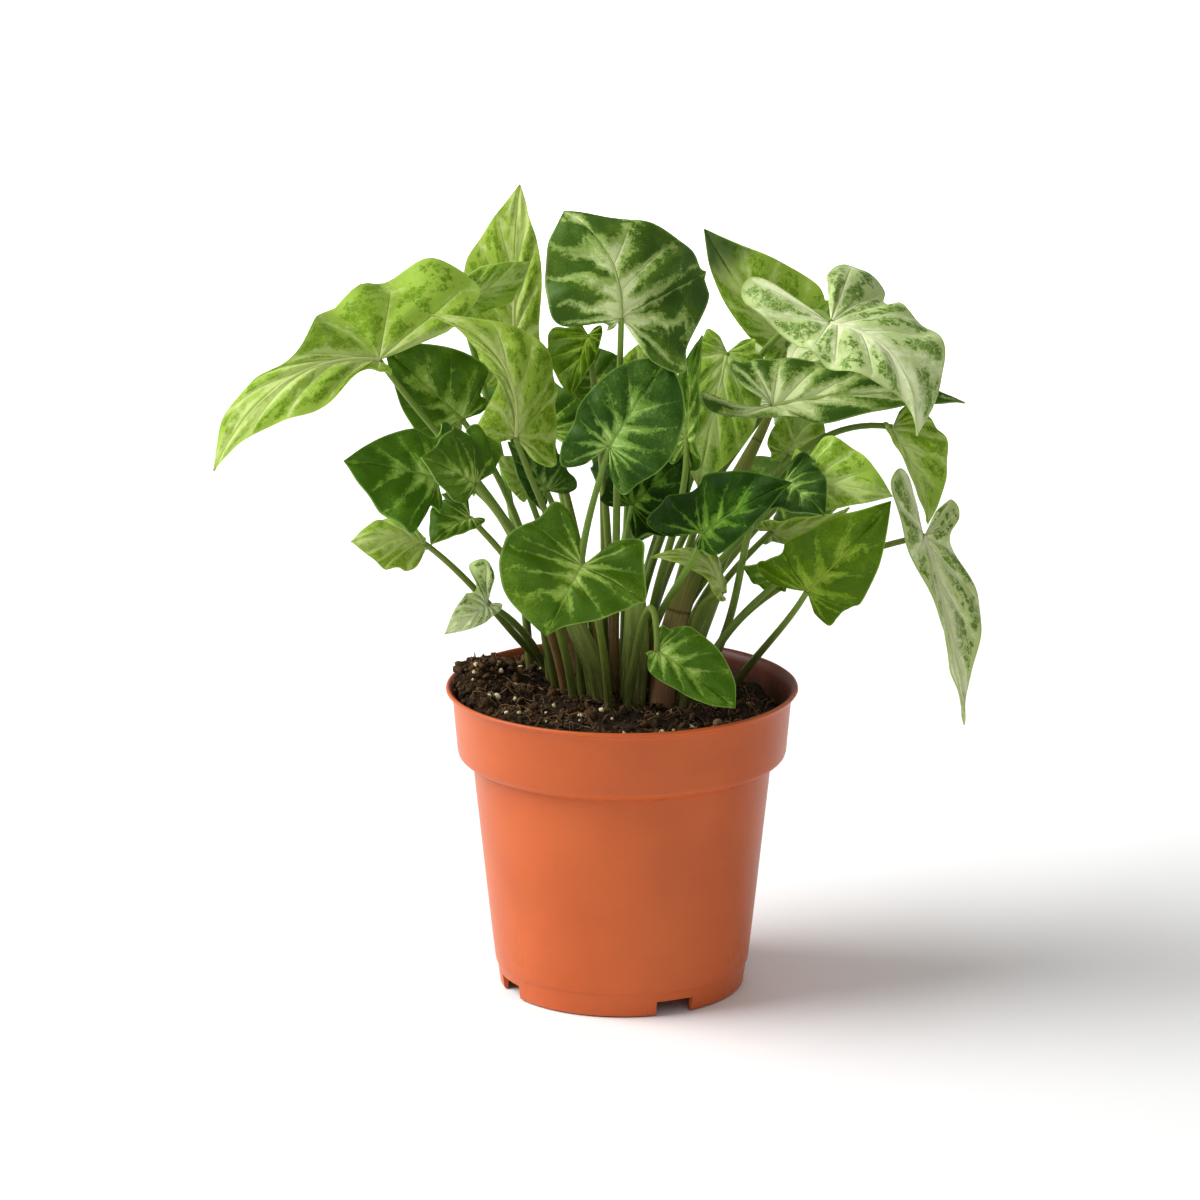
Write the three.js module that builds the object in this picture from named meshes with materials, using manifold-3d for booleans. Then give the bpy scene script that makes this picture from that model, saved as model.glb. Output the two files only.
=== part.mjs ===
// Arrowhead plant (Syngonium) in a plastic nursery pot. Millimetres, +Z up.
// The origin is on the ground under the middle of the whole plant, so the pot stands a little to one side.
import * as THREE from "three";
import { mergeVertices } from "three/addons/utils/BufferGeometryUtils.js";
import Module from "manifold-3d";

const wasm = await Module();
wasm.setup();

// ---- Driving dimensions ----
const CLEARANCE = 0.3; // left between any two pieces that stand in or on each other
const SHORTEST_STEP = 0.06; // smaller slivers that a join leaves are smoothed away

const POT = {
  centreX: 7.5,
  height: 105,
  wall: 1.3,
  lipRadius: 60,
  lipHeight: 1.2,
  lipBevel: 0.3,
  collarTopRadius: 57.8,
  collarBottomRadius: 56,
  collarBottom: 82,
  bodyTopRadius: 50.9,
  bodyTop: 78,
  footRadius: 43.4,
  footHeight: 8.5,
  footBottomRadius: 41.8,
  footStep: 0.4,
  innerStep: 1, // the wall's bends sit this much apart inside and outside
  sides: 36,
};
const NOTCH = { count: 4, firstAngle: -65, width: 13, height: 5, cutDepth: 8.6 };
const DRAIN = { radius: 3.2, ring: 31, sides: 12 };

const SOIL = {
  level: 99, // height at the pot's middle
  tilt: 0.085, // it is heaped against the left of the pot
  lumps: 1.3,
  lumpWidth: 3.4,
  swell: 0.6,
  swellWidth: 4.4,
  heap: { x: -43, y: 6, width: 15, depth: 24, height: 8 }, // it stands over the rim on the left
  collarGap: 0.5, // between the soil and the pot's wall
  wallGap: 0.7,
  rings: 7,
  spokes: 28,
};
const SOCKET_RISE = 5; // how far the tool that cuts a stalk's hole stands out of the soil

const BLADE = { thickness: 0.8, rows: 9, smallRows: 8, smallLength: 30, columns: 3 };
const STALK = {
  sides: 5,
  thickest: 2, // anything thicker has a cane's number of sides
  bladeRadius: 1.0,
  ribEnd: 0.18, // how far along the blade it runs on as a rib
  ribRadius: 0.5,
  depth: 9, // how far a stalk runs down into the soil
  steps: 6,
  // The handles of the stalk's curve, in parts of the way from the soil to the blade.
  startAcross: 0.15,
  startUp: 0.35,
  startReach: 0.1,
  endAcross: 0.4,
  endUp: 0.25,
};
const CANE = { sides: 7, depth: 12, steps: 8 };

// Where the outline of half a blade runs, in parts of the blade's length; turn is in degrees.
const LOBE = { innerReach: 0.55, innerTurn: 22, tipTurn: 8, outerReach: 0.95, toWaist: 0.1, leastTurn: 2 };
const WAIST = { first: 0.02, toBelly: 0.12 };
// Between the widest place and the tip: where, the width there in parts of the full width, and what
// a full margin adds to it.
const SHOULDER = { at: 0.4, share: 0.7, extra: 0.2 };
const NECK = { at: 0.74, share: 0.27, extra: 0.33 };
const LOBE_SLOPE = 0.35; // how much of the midrib's slope the basal lobes keep
const LOBE_SWEEP = 1.2;
const LEAST_BEND = 0.2; // narrower halves bend no more sharply than one this wide
const WAVE = { fullAt: 0.3, most: 1.5, halfPhase: 1.3, leafPhase: 2.4 };

// Every leaf is set by the point where its stalk meets the blade, by its tip and by the way its upper face
// looks. wide, lobe, spread, fold, curl, droop and waist are for the left and right half of the blade, seen
// from above with the tip away. Lengths across the blade are in parts of the length from base to tip.
// root is where the stalk leaves the soil; rise and bow are the stalk's two handles, in mm.
const LEAF_DEFAULTS = {
  arch: 0.1, // how far the midrib bows up
  sweep: 0, // how far it bows sideways
  fold: [15, 15], // degrees that each half rises from the midrib
  curl: [25, 25], // degrees that each half bends back down towards its margin, never 0
  droop: [0, 0], // how much the basal lobes hang
  waist: [0.92, 0.92], // width beside the stalk, in parts of the full width
  belly: 0.24, // where along the blade it is widest
  round: 14, // degrees that the basal lobes are broad
  full: [0.35, 0.35], // how far each half stays broad towards the tip, 0 to 1
  wave: 0.02,
  waves: 2.5,
  thick: 1.5, // radius of the stalk at the soil
};
const LEAVES = [
  {
    name: "leaf_01", tone: "pale", root: [-1, 23], base: [-29, 22, 220], tip: [-27, 28, 273],
    face: [-0.3, -1, 0.25], wide: [0.34, 0.19], lobe: [0.35, 0.35], spread: [35, 35], arch: 0.05,
    fold: [10, 15], belly: 0.4, full: [0.1, 0.3],
  },
  {
    name: "leaf_02", tone: "lime", root: [-12, 16], base: [-73, -30, 225], tip: [-127, -50, 192],
    face: [-0.3, -0.8, 0.6], wide: [0.22, 0.11], lobe: [0.1, 0.72], spread: [90, 25], arch: 0.33,
    fold: [0, 10], curl: [25, 8], droop: [0, 0], waist: [0.35, 3.6], belly: [0.38, 0.36], round: 18,
    rise: [-6, -9, 57], bow: [26, 14, -41], full: [0, 1.6],
  },
  {
    name: "leaf_03", tone: "back", root: [-24, 27], base: [-48, 14, 236], tip: [-24, 18, 248],
    face: [-0.2, -0.9, -0.5], wide: [0.32, 0.32], lobe: [0.4, 0.4], spread: [40, 40], arch: 0.1,
    belly: 0.5,
  },
  {
    name: "leaf_04", tone: "dark", root: [-15, 10], base: [-54, -40, 187], tip: [-84, -56, 197],
    face: [-0.1, -0.85, 0.5], wide: [0.6, 0.42], lobe: [0.35, 0.6], spread: [100, 72], arch: 0.08,
    belly: [0.2, 0.24], bow: [20, 36, -6], full: [0.5, 0.4],
  },
  {
    name: "leaf_05", tone: "dark", root: [-17, 16], base: [-46, -10, 200], tip: [-72, -14, 226],
    face: [-0.1, -0.9, 0.4], wide: [0.38, 0.5], lobe: [0.35, 0.3], spread: [78, 85], arch: 0.05,
    rise: [-4, -2, 45], bow: [16, 6, -25], full: [0.3, 0.5],
  },
  {
    name: "leaf_06", tone: "mid", root: [-9, -2], base: [-41, -60, 190], tip: [-58, -76, 203],
    face: [0, -0.8, 0.6], wide: [0.33, 0.72], lobe: [0.15, 1.15], spread: [90, 60], arch: 0.06,
    fold: [0, 0], belly: [0.35, 0.25], full: [0.5, 0],
  },
  {
    name: "leaf_07", tone: "mid", root: [-15, 28], base: [-59, -20, 160], tip: [-83, -30, 163],
    face: [-0.1, -0.7, 0.7], wide: [0.4, 0.42], lobe: [0.1, 0.1], spread: [70, 70], arch: 0.12,
    fold: [-20, 0], belly: [0.55, 0.24], rise: [-15, -10, 14], bow: [20, 13, -19],
  },
  {
    name: "leaf_08", tone: "dark", root: [-12, 6], base: [-43, -34, 172], tip: [-56, -42, 165],
    face: [-0.3, -0.7, 0.6], wide: [0.3, 0.7], lobe: [0.3, 0.9], spread: [60, 80],
  },
  {
    name: "leaf_09", tone: "pale", root: [-18, 21], base: [-38, -22, 139], tip: [-52, -30, 131],
    face: [0.6, -0.6, 0.5], wide: [0.25, 0.4], lobe: [0.3, 0.9], spread: [40, 60], rise: [-4, -3, 11],
    bow: [8, 19, -8],
  },
  {
    name: "leaf_10", tone: "dark", root: [5, 10], base: [7, -30, 239], tip: [-12, -10, 271],
    face: [0.12, -0.78, 0.6], wide: [0.6, 0.9], lobe: [0.15, 0.68], spread: [80, 40], sweep: -0.12,
    fold: [0, -5], curl: [20, 35], waist: [0.8, 1.1], belly: [0.3, 0.14], full: [0.7, 0.2],
  },
  {
    name: "leaf_11", tone: "dark", root: [-6, 4], base: [3, -36, 197], tip: [22, -28, 225],
    face: [0, -0.95, 0.35], wide: [0.45, 0.56], lobe: [0.48, 0.48], spread: [42, 58], arch: 0.06,
    rise: [-5, -4, 48], bow: [-6, 10, -25], full: [0.9, 0.9],
  },
  {
    name: "leaf_12", tone: "mid", root: [3, -8], base: [-6, -54, 161], tip: [-18, -62, 139],
    face: [0, -0.95, 0.4], wide: [0.84, 1], lobe: [0.82, 0.86], spread: [48, 56], arch: 0.08,
    waist: [1.1, 0.98], belly: [0.14, 0.2], full: [-0.2, 1],
  },
  {
    name: "leaf_13", tone: "dark", root: [14, 11], base: [34, -38, 168], tip: [63, -53, 189],
    face: [0.05, -0.8, 0.6], wide: [0.42, 0.27], lobe: [0.6, 0.15], spread: [42, 60], arch: 0.06,
    rise: [4, -8, 37], bow: [-5, 12, -23],
  },
  {
    name: "leaf_14", tone: "dark", root: [32, 16], base: [61, -38, 185], tip: [74, -50, 177],
    face: [0.2, -0.8, 0.55], wide: [0.6, 0.6], lobe: [0.75, 0.5], spread: [80, 60],
    rise: [22, -18, 36], bow: [-19, 18, -14],
  },
  {
    name: "leaf_15", tone: "pale", root: [20, 17], base: [64, -28, 183], tip: [97, -36, 180],
    face: [0.1, -0.85, 0.5], wide: [0.48, 0.3], lobe: [0.32, 0.25], spread: [98, 60],
    rise: [6, -5, 41], bow: [-11, 16, -21],
  },
  {
    name: "leaf_16", tone: "back", root: [27, 22], base: [58, -4, 160], tip: [84, -8, 169],
    face: [0.1, -0.8, -0.6], wide: [0.25, 0.25], lobe: [0.25, 0.25], spread: [50, 50],
  },
  {
    name: "leaf_17", tone: "lime", root: [43, 16], base: [69, -34, 147], tip: [96, -46, 181],
    face: [0.25, -0.9, 0.35], wide: [0.38, 0.34], lobe: [0.42, 0.31], spread: [82, 80], arch: 0.08,
    rise: [10, -2, 16], bow: [-6, 8, -14],
  },
  {
    name: "leaf_18", tone: "pale", root: [34, 20], base: [108, -30, 165], tip: [122, -36, 101],
    face: [0.25, -0.9, 0.3], wide: [0.22, 0.06], lobe: [0.25, 0.36], spread: [64, 14], arch: 0.06,
    fold: [0, 40], waist: [0.6, 2.3], belly: 0.37, round: 14, rise: [8, -6, 34], bow: [-40, 10, -12],
    full: [-0.3, -0.3],
  },
  {
    name: "leaf_19", tone: "pale", root: [11, 30], base: [76, -32, 238], tip: [104, -50, 204],
    face: [0.3, -0.78, 0.55], wide: [0.46, 0.36], lobe: [0.84, 0.6], spread: [66, 16], arch: 0.17,
    sweep: 0.14, fold: [0, 0], waist: [1.15, 0.85], round: 12, rise: [0, 20, 50], bow: [-8, 62, 10],
    full: [1.1, -0.3],
  },
  {
    name: "leaf_20", tone: "pale", root: [21, 2], base: [58, -6, 204], tip: [123, 2, 203],
    face: [0.05, -0.7, 0.7], wide: [0.22, 0.16], lobe: [0.34, 0.4], spread: [62, 12], droop: [0, -1.5],
    waist: [1.2, 0.55], round: 5, thick: 4.6, rise: [1, -3, 42], bow: [-6, 16, -22], full: [0, 0],
  },
  {
    name: "leaf_21", tone: "lime", root: [20, 25], base: [64, 25, 219], tip: [35, 21, 259],
    face: [0.1, -0.95, 0.2], wide: [0.17, 0.42], lobe: [0.24, 0.5], spread: [70, 75], arch: 0.06,
    sweep: 0.05, full: [0.8, 0.2],
  },
  {
    name: "leaf_22", tone: "lime", root: [15, 24], base: [43, 13, 218], tip: [33, 6, 173],
    face: [-0.1, -1, 0.1], wide: [0.32, 0.28], lobe: [0.22, 0.22], spread: [60, 60], arch: 0.06,
    belly: 0.45, bow: [-6, 2, -36],
  },
  {
    name: "leaf_23", tone: "lime", root: [30, 24], base: [98, -8, 197], tip: [110, -14, 165],
    face: [0.35, -0.8, 0.4], wide: [0.44, 0.08], lobe: [0.3, 0.1], spread: [70, 50], arch: 0.12,
    rise: [6, 0, 40], bow: [-40, 4, 6],
  },
  {
    name: "leaf_24", tone: "lime", root: [5, 15], base: [-4, 4, 226], tip: [-10, -2, 206],
    face: [-0.3, -0.9, 0.3], wide: [0.25, 0.6], lobe: [0.25, 0.35], spread: [50, 70], arch: 0.06,
  },
  {
    name: "leaf_25", tone: "pale", root: [16, 15], base: [29, -8, 193], tip: [34, -10, 229],
    face: [-0.6, -0.8, 0.2], wide: [0.2, 0.14], lobe: [0.3, 0.3], spread: [30, 30], arch: 0.05,
    rise: [-2, -1, 39], bow: [1, -14, -28],
  },
  {
    name: "leaf_26", tone: "dark", root: [11, 14], base: [11, 4, 167], tip: [30, 0, 187],
    face: [0.2, -0.9, 0.4], wide: [0.5, 0.6], lobe: [0.4, 0.4], spread: [60, 60], arch: 0.06,
    rise: [0, -7, 34], bow: [-5, 3, -23],
  },
  {
    name: "leaf_27", tone: "mid", root: [9, -8], base: [19, -40, 128], tip: [45, -50, 111],
    face: [0.1, -0.9, 0.5], wide: [0.4, 0.25], lobe: [0.28, 0.12], spread: [72, 60], arch: 0.08,
    rise: [6, 0, 44], bow: [0, 6, 20], full: [0.9, 0.9],
  },
  {
    name: "leaf_28", tone: "lime", root: [28, -4], base: [41, -10, 140], tip: [17, -16, 154],
    face: [0, -0.6, 0.8], wide: [0.2, 0.25], lobe: [0.1, 0.1], spread: [50, 50], arch: 0.3,
    rise: [2, 5, 19], bow: [-12, 14, -7],
  },
  {
    name: "leaf_29", tone: "back", root: [31, 1], base: [61, -14, 146], tip: [48, -16, 151],
    face: [0.1, -0.8, -0.6], wide: [0.45, 0.55], lobe: [0.4, 0.4], spread: [60, 60], arch: 0.06,
  },
  {
    name: "leaf_30", tone: "lime", root: [-5, 20], base: [-28, -27, 198], tip: [-57, -15, 237],
    face: [0.15, -0.9, 0.4], wide: [0.1, 0.4], lobe: [0.36, 0.36], spread: [125, 40], sweep: -0.2,
    fold: [10, -5], belly: [0.35, 0.16], rise: [-3, -8, 48], bow: [9, 9, -30], full: [0, 0.15],
  },
  {
    name: "leaf_31", tone: "dark", root: [1, 7], base: [-18, -8, 175], tip: [-31, -12, 193],
    face: [0.2, -0.9, 0.4], wide: [0.3, 0.5], lobe: [0.3, 0.5], spread: [60, 60],
  },
  {
    name: "leaf_32", tone: "lime", root: [-10, 23], base: [-25, -4, 175], tip: [-35, -8, 187],
    face: [0.2, -0.9, 0.4], wide: [0.3, 0.5], lobe: [0.3, 0.3], spread: [60, 60],
  },
  {
    name: "leaf_33", tone: "lime", root: [8, 20], base: [11, 10, 207], tip: [23, 16, 225],
    face: [0, -0.95, 0.3], wide: [0.35, 0.6], lobe: [0.4, 0.4], spread: [60, 60],
  },
  {
    name: "leaf_34", tone: "back", root: [2, 26], base: [0, 24, 202], tip: [-6, 30, 217],
    face: [0, -0.95, 0.3], wide: [0.5, 0.7], lobe: [0.4, 0.4], spread: [60, 60],
  },
  {
    name: "leaf_35", tone: "lime", root: [30, 28], base: [64, 6, 184], tip: [72, 10, 204],
    face: [0, -0.95, 0.3], wide: [0.4, 0.5], lobe: [0.3, 0.3], spread: [60, 60],
  },
  {
    name: "leaf_36", tone: "mid", root: [-4, 34], base: [-19, 44, 183], tip: [-39, 75, 196],
    face: [-0.3, 0.5, 0.8], wide: [0.5, 0.5], lobe: [0.5, 0.5], spread: [50, 50], arch: 0.15,
  },
  {
    name: "leaf_37", tone: "dark", root: [4, 34], base: [14, 42, 176], tip: [22, 75, 192],
    face: [0, 0.6, 0.8], wide: [0.55, 0.55], lobe: [0.5, 0.5], spread: [50, 50], arch: 0.15,
  },
  {
    name: "leaf_38", tone: "pale", root: [14, 34], base: [59, 40, 194], tip: [77, 75, 210],
    face: [0.3, 0.6, 0.7], wide: [0.5, 0.5], lobe: [0.5, 0.5], spread: [50, 50], arch: 0.15,
  },
  {
    name: "leaf_39", tone: "mid", root: [24, 32], base: [62, 38, 159], tip: [90, 72, 162],
    face: [0.5, 0.5, 0.7], wide: [0.5, 0.5], lobe: [0.5, 0.5], spread: [50, 50], arch: 0.15,
  },
  {
    name: "leaf_40", tone: "mid", root: [-4, 41], base: [-14, 50, 124], tip: [-30, 75, 126],
    face: [-0.3, 0.6, 0.7], wide: [0.5, 0.5], lobe: [0.4, 0.4], spread: [50, 50], arch: 0.15,
  },
  {
    name: "leaf_41", tone: "dark", root: [10, 40], base: [20, 50, 146], tip: [36, 75, 148],
    face: [0.1, 0.6, 0.7], wide: [0.5, 0.5], lobe: [0.4, 0.4], spread: [50, 50], arch: 0.15,
  },
];

// Canes and sheathed stems: points from the soil up, with a radius at each.
const CANES = [
  {
    name: "cane_left", tone: "bark", radii: [5, 4.5, 4, 3],
    path: [[-5, 12], [-9, 8, 118], [-13, 2, 132], [-14, -2, 144]],
  },
  {
    name: "sheath_left", tone: "sheath", radii: [4, 3.6, 3, 2],
    path: [[0, -1], [-3, -3, 115], [-9, -8, 130], [-12, -13, 144]],
  },
  {
    name: "sheath_middle", tone: "sheath", radii: [4.8, 4.4, 3.6, 2.4],
    path: [[11, 3], [12, -2, 118], [12, -7, 134], [11, -10, 150]],
  },
  {
    name: "sheath_right", tone: "sheath", radii: [4.5, 4, 3.4, 2.4],
    path: [[27, 10], [31, 8, 116], [36, 6, 130], [41, 4, 141]],
  },
];

// Colour and roughness of each kind of surface.
const FINISH = {
  plastic: ["#d97645", 0.45],
  soil: ["#3b2a20", 0.95],
  bark: ["#a97a5c", 0.8],
  sheath: ["#8fa45a", 0.6],
  pale: ["#a9c283", 0.5],
  lime: ["#8fb043", 0.5],
  mid: ["#4f8038", 0.45],
  dark: ["#2f5c33", 0.45],
  back: ["#9ab284", 0.6],
};

// ---- Small helpers ----
const radians = THREE.MathUtils.degToRad;
const vector = (p) => new THREE.Vector3(...p);

// A value at x (0 to 1) on a Catmull-Rom curve through evenly spaced rows of numbers.
function spline(rows, x) {
  const last = rows.length - 1;
  const at = x * last;
  const i = Math.min(Math.floor(at), last - 1);
  const f = at - i;
  const row = (k) => {
    if (k < 0) return rows[0].map((v, n) => 2 * v - rows[1][n]);
    if (k > last) return rows[last].map((v, n) => 2 * v - rows[last - 1][n]);
    return rows[k];
  };
  const [a, b, c, d] = [row(i - 1), row(i), row(i + 1), row(i + 2)];
  return b.map((v, n) => {
    const slope = (c[n] - a[n]) * f;
    const bend = (2 * a[n] - 5 * v + 4 * c[n] - d[n]) * f * f;
    return 0.5 * (2 * v + slope + bend + (3 * v - a[n] - 3 * c[n] + d[n]) * f * f * f);
  });
}

// A closed solid from loose triangles: vertices at one place are joined and collapsed triangles dropped.
function solidFrom(triangles) {
  const ids = new Map();
  const points = [];
  const faces = [];
  const idOf = (p) => {
    const key = p.map((v) => Math.round(v * 1e4)).join();
    if (!ids.has(key)) {
      ids.set(key, points.length / 3);
      points.push(...p);
    }
    return ids.get(key);
  };
  for (const triangle of triangles) {
    const [a, b, c] = triangle.map(idOf);
    if (a !== b && b !== c && c !== a) faces.push(a, b, c);
  }
  return new wasm.Manifold(
    new wasm.Mesh({
      numProp: 3,
      vertProperties: new Float32Array(points),
      triVerts: new Uint32Array(faces),
    }),
  );
}

function solidFromGeometry(geometry) {
  const bare = geometry.clone();
  bare.deleteAttribute("normal");
  bare.deleteAttribute("uv");
  const merged = mergeVertices(bare, 1e-3);
  return new wasm.Manifold(
    new wasm.Mesh({
      numProp: 3,
      vertProperties: merged.attributes.position.array,
      triVerts: new Uint32Array(merged.index.array),
    }),
  );
}

function geometryFrom(solid) {
  const mesh = solid.asOriginal().simplify(SHORTEST_STEP).getMesh();
  const geometry = new THREE.BufferGeometry();
  geometry.setAttribute("position", new THREE.BufferAttribute(mesh.vertProperties, 3));
  geometry.setIndex(new THREE.BufferAttribute(mesh.triVerts, 1));
  return geometry;
}

// A round bar along points, with a radius at each, closed at both ends.
function taperedBar(points, radii, sides) {
  const rings = [];
  let side = new THREE.Vector3(0, 1, 0);
  points.forEach((point, i) => {
    const before = points[Math.max(i - 1, 0)];
    const after = points[Math.min(i + 1, points.length - 1)];
    const along = after.clone().sub(before).normalize();
    side = side.clone().addScaledVector(along, -side.dot(along)).normalize();
    const other = along.clone().cross(side);
    const ring = [];
    for (let k = 0; k < sides; k += 1) {
      const turn = (2 * Math.PI * k) / sides;
      const out = side.clone().multiplyScalar(Math.cos(turn)).addScaledVector(other, Math.sin(turn));
      ring.push(point.clone().addScaledVector(out, radii[i]).toArray());
    }
    rings.push(ring);
  });
  const triangles = [];
  const last = rings[rings.length - 1];
  for (let k = 0; k < sides; k += 1) {
    const n = (k + 1) % sides;
    for (let i = 0; i + 1 < rings.length; i += 1) {
      triangles.push([rings[i][k], rings[i][n], rings[i + 1][n]]);
      triangles.push([rings[i][k], rings[i + 1][n], rings[i + 1][k]]);
    }
    triangles.push([points[0].toArray(), rings[0][n], rings[0][k]]);
    triangles.push([points[points.length - 1].toArray(), last[k], last[n]]);
  }
  return solidFrom(triangles);
}

// The hole that a stalk or cane needs in the soil.
function socketFor(points, radii, sides) {
  const [foot, root] = points;
  const up = root.clone().sub(foot).normalize();
  const line = [foot.clone().addScaledVector(up, -CLEARANCE), root.clone().addScaledVector(up, SOCKET_RISE)];
  const radius = radii[0] + CLEARANCE / Math.cos(Math.PI / sides);
  return taperedBar(line, [radius, radius], sides);
}

// ---- Soil surface ----
function soilHeight(x, y) {
  const small = Math.sin(x / SOIL.lumpWidth + 1) * Math.cos(y / SOIL.lumpWidth);
  const large = Math.sin((x / 2 - y) / SOIL.swellWidth + 2);
  const { heap } = SOIL;
  const away = ((x - heap.x) / heap.width) ** 2 + ((y - heap.y) / heap.depth) ** 2;
  const plain = SOIL.level - SOIL.tilt * (x - POT.centreX) + SOIL.lumps * (small + SOIL.swell * large);
  return plain + heap.height * Math.exp(-away);
}

// ---- Leaves ----
const side = (pair, half) => (Array.isArray(pair) ? pair[half] : pair);

const polar = (length, degrees) => [
  -length * Math.cos(radians(degrees)),
  length * Math.sin(radians(degrees)),
];

// Half of the outline, from the notch round the basal lobe and up the margin to the tip.
function outline(leaf, half) {
  const lobe = side(leaf.lobe, half);
  const spread = side(leaf.spread, half);
  const wide = side(leaf.wide, half);
  const lobeEdge = polar(LOBE.outerReach * lobe, spread + leaf.round);
  const waistAt = Math.max(WAIST.first, lobeEdge[0] + LOBE.toWaist);
  const belly = Math.max(side(leaf.belly, half), waistAt + WAIST.toBelly);
  const full = side(leaf.full, half);
  const towardsTip = ({ at, share, extra }) => [belly + (1 - belly) * at, wide * (share + extra * full)];
  return [
    [0, 0],
    polar(LOBE.innerReach * lobe, Math.max(spread - LOBE.innerTurn, LOBE.leastTurn)),
    polar(lobe, Math.max(spread - LOBE.tipTurn, 2 * LOBE.leastTurn)),
    lobeEdge,
    [waistAt, wide * side(leaf.waist, half)],
    [belly, wide],
    towardsTip(SHOULDER),
    towardsTip(NECK),
    [1, 0],
  ];
}
const LOBE_EDGE_ROW = 1 / 8; // the first row of the blade runs along the lobe's inner edge
const VEIN_STARTS = [[0], [0], [0], [0], [0], [0.08], [0.33], [0.64], [1]];
const ON_MIDRIB = 1e-6; // closer than this to the midrib, both halves face the same way

// The leaf's own frame: length, and unit vectors along it, across it to the left and out of its face.
function leafFrame(leaf) {
  const base = vector(leaf.base);
  const along = vector(leaf.tip).sub(base);
  const length = along.length();
  along.normalize();
  const out = vector(leaf.face);
  out.addScaledVector(along, -out.dot(along)).normalize();
  return { base, length, along, across: out.clone().cross(along), out };
}

// A point of the blade at u along it and v out from the midrib, in parts of its length, and the way
// that its upper surface looks there.
function bladePoint(leaf, frame, half, u, v) {
  const sign = half === 0 ? 1 : -1;
  const inside = Math.min(Math.max(u, 0), 1);
  const behind = Math.min(u, 0);
  const droop = side(leaf.droop, half);
  const rise = leaf.arch * 4;
  let slope = rise * (1 - 2 * inside);
  let height = rise * inside * (1 - inside);
  let drift = leaf.sweep * 4 * inside * (1 - inside);
  if (behind < 0) {
    height += slope * behind * LOBE_SLOPE - droop * behind * behind;
    drift += leaf.sweep * LOBE_SWEEP * behind;
    slope = slope * LOBE_SLOPE - 2 * droop * behind;
  }
  const scale = Math.hypot(1, slope);
  const fold = radians(side(leaf.fold, half));
  const bend = radians(side(leaf.curl, half)) / Math.max(side(leaf.wide, half), LEAST_BEND);
  const angle = fold - bend * v;
  const wave = leaf.wave * Math.min(v / WAVE.fullAt, WAVE.most) ** 2;
  const phase = leaf.phase + half * WAVE.halfPhase;
  const y = (sign * (Math.sin(fold) - Math.sin(angle))) / bend;
  const z = (Math.cos(angle) - Math.cos(fold)) / bend + wave * Math.sin(2 * Math.PI * leaf.waves * u + phase);
  const tilt = v > ON_MIDRIB ? angle : 0;
  const place = (a, b, c, to) =>
    to.addScaledVector(frame.along, a).addScaledVector(frame.across, b).addScaledVector(frame.out, c);
  const point = place(u - (slope / scale) * z, drift + y, height + z / scale, new THREE.Vector3());
  point.multiplyScalar(frame.length).add(frame.base);
  const lean = Math.cos(tilt);
  const normal = place(-(slope / scale) * lean, -sign * Math.sin(tilt), lean / scale, new THREE.Vector3());
  return { point, normal: normal.normalize() };
}

// Top and bottom points of one half of the blade, row by row from the midrib to the margin.
function bladeRows(leaf, frame, half) {
  const edge = outline(leaf, half);
  const count = frame.length < BLADE.smallLength ? BLADE.smallRows : BLADE.rows;
  const rows = [];
  for (let i = 0; i < count; i += 1) {
    const w = LOBE_EDGE_ROW + ((1 - LOBE_EDGE_ROW) * i) / (count - 1);
    const [edgeU, edgeV] = spline(edge, w);
    const start = Math.min(Math.max(spline(VEIN_STARTS, w)[0], 0), 1);
    const row = [];
    for (let j = 0; j < BLADE.columns; j += 1) {
      const t = j / (BLADE.columns - 1);
      const u = start + (edgeU - start) * t;
      const { point, normal } = bladePoint(leaf, frame, half, u, Math.max(edgeV, 0) * t);
      const top = point.clone().addScaledVector(normal, BLADE.thickness / 2);
      const bottom = point.clone().addScaledVector(normal, -BLADE.thickness / 2);
      row.push([top.toArray(), bottom.toArray()]);
    }
    rows.push(row);
  }
  return rows;
}

function blade(leaf, frame) {
  const triangles = [];
  const add = (half, a, b, c) => triangles.push(half === 0 ? [a, b, c] : [a, c, b]);
  for (const half of [0, 1]) {
    const rows = bladeRows(leaf, frame, half);
    const wall = (half, p, q) => {
      add(half, p[0], q[0], q[1]);
      add(half, p[0], q[1], p[1]);
    };
    for (let i = 0; i + 1 < rows.length; i += 1) {
      for (let j = 0; j + 1 < BLADE.columns; j += 1) {
        const [a, b, c, d] = [rows[i][j], rows[i + 1][j], rows[i + 1][j + 1], rows[i][j + 1]];
        add(half, a[0], b[0], c[0]);
        add(half, a[0], c[0], d[0]);
        add(half, a[1], c[1], b[1]);
        add(half, a[1], d[1], c[1]);
      }
      wall(half, rows[i][BLADE.columns - 1], rows[i + 1][BLADE.columns - 1]);
    }
    for (let j = 0; j + 1 < BLADE.columns; j += 1) wall(half, rows[0][j], rows[0][j + 1]);
  }
  return solidFrom(triangles);
}

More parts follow.
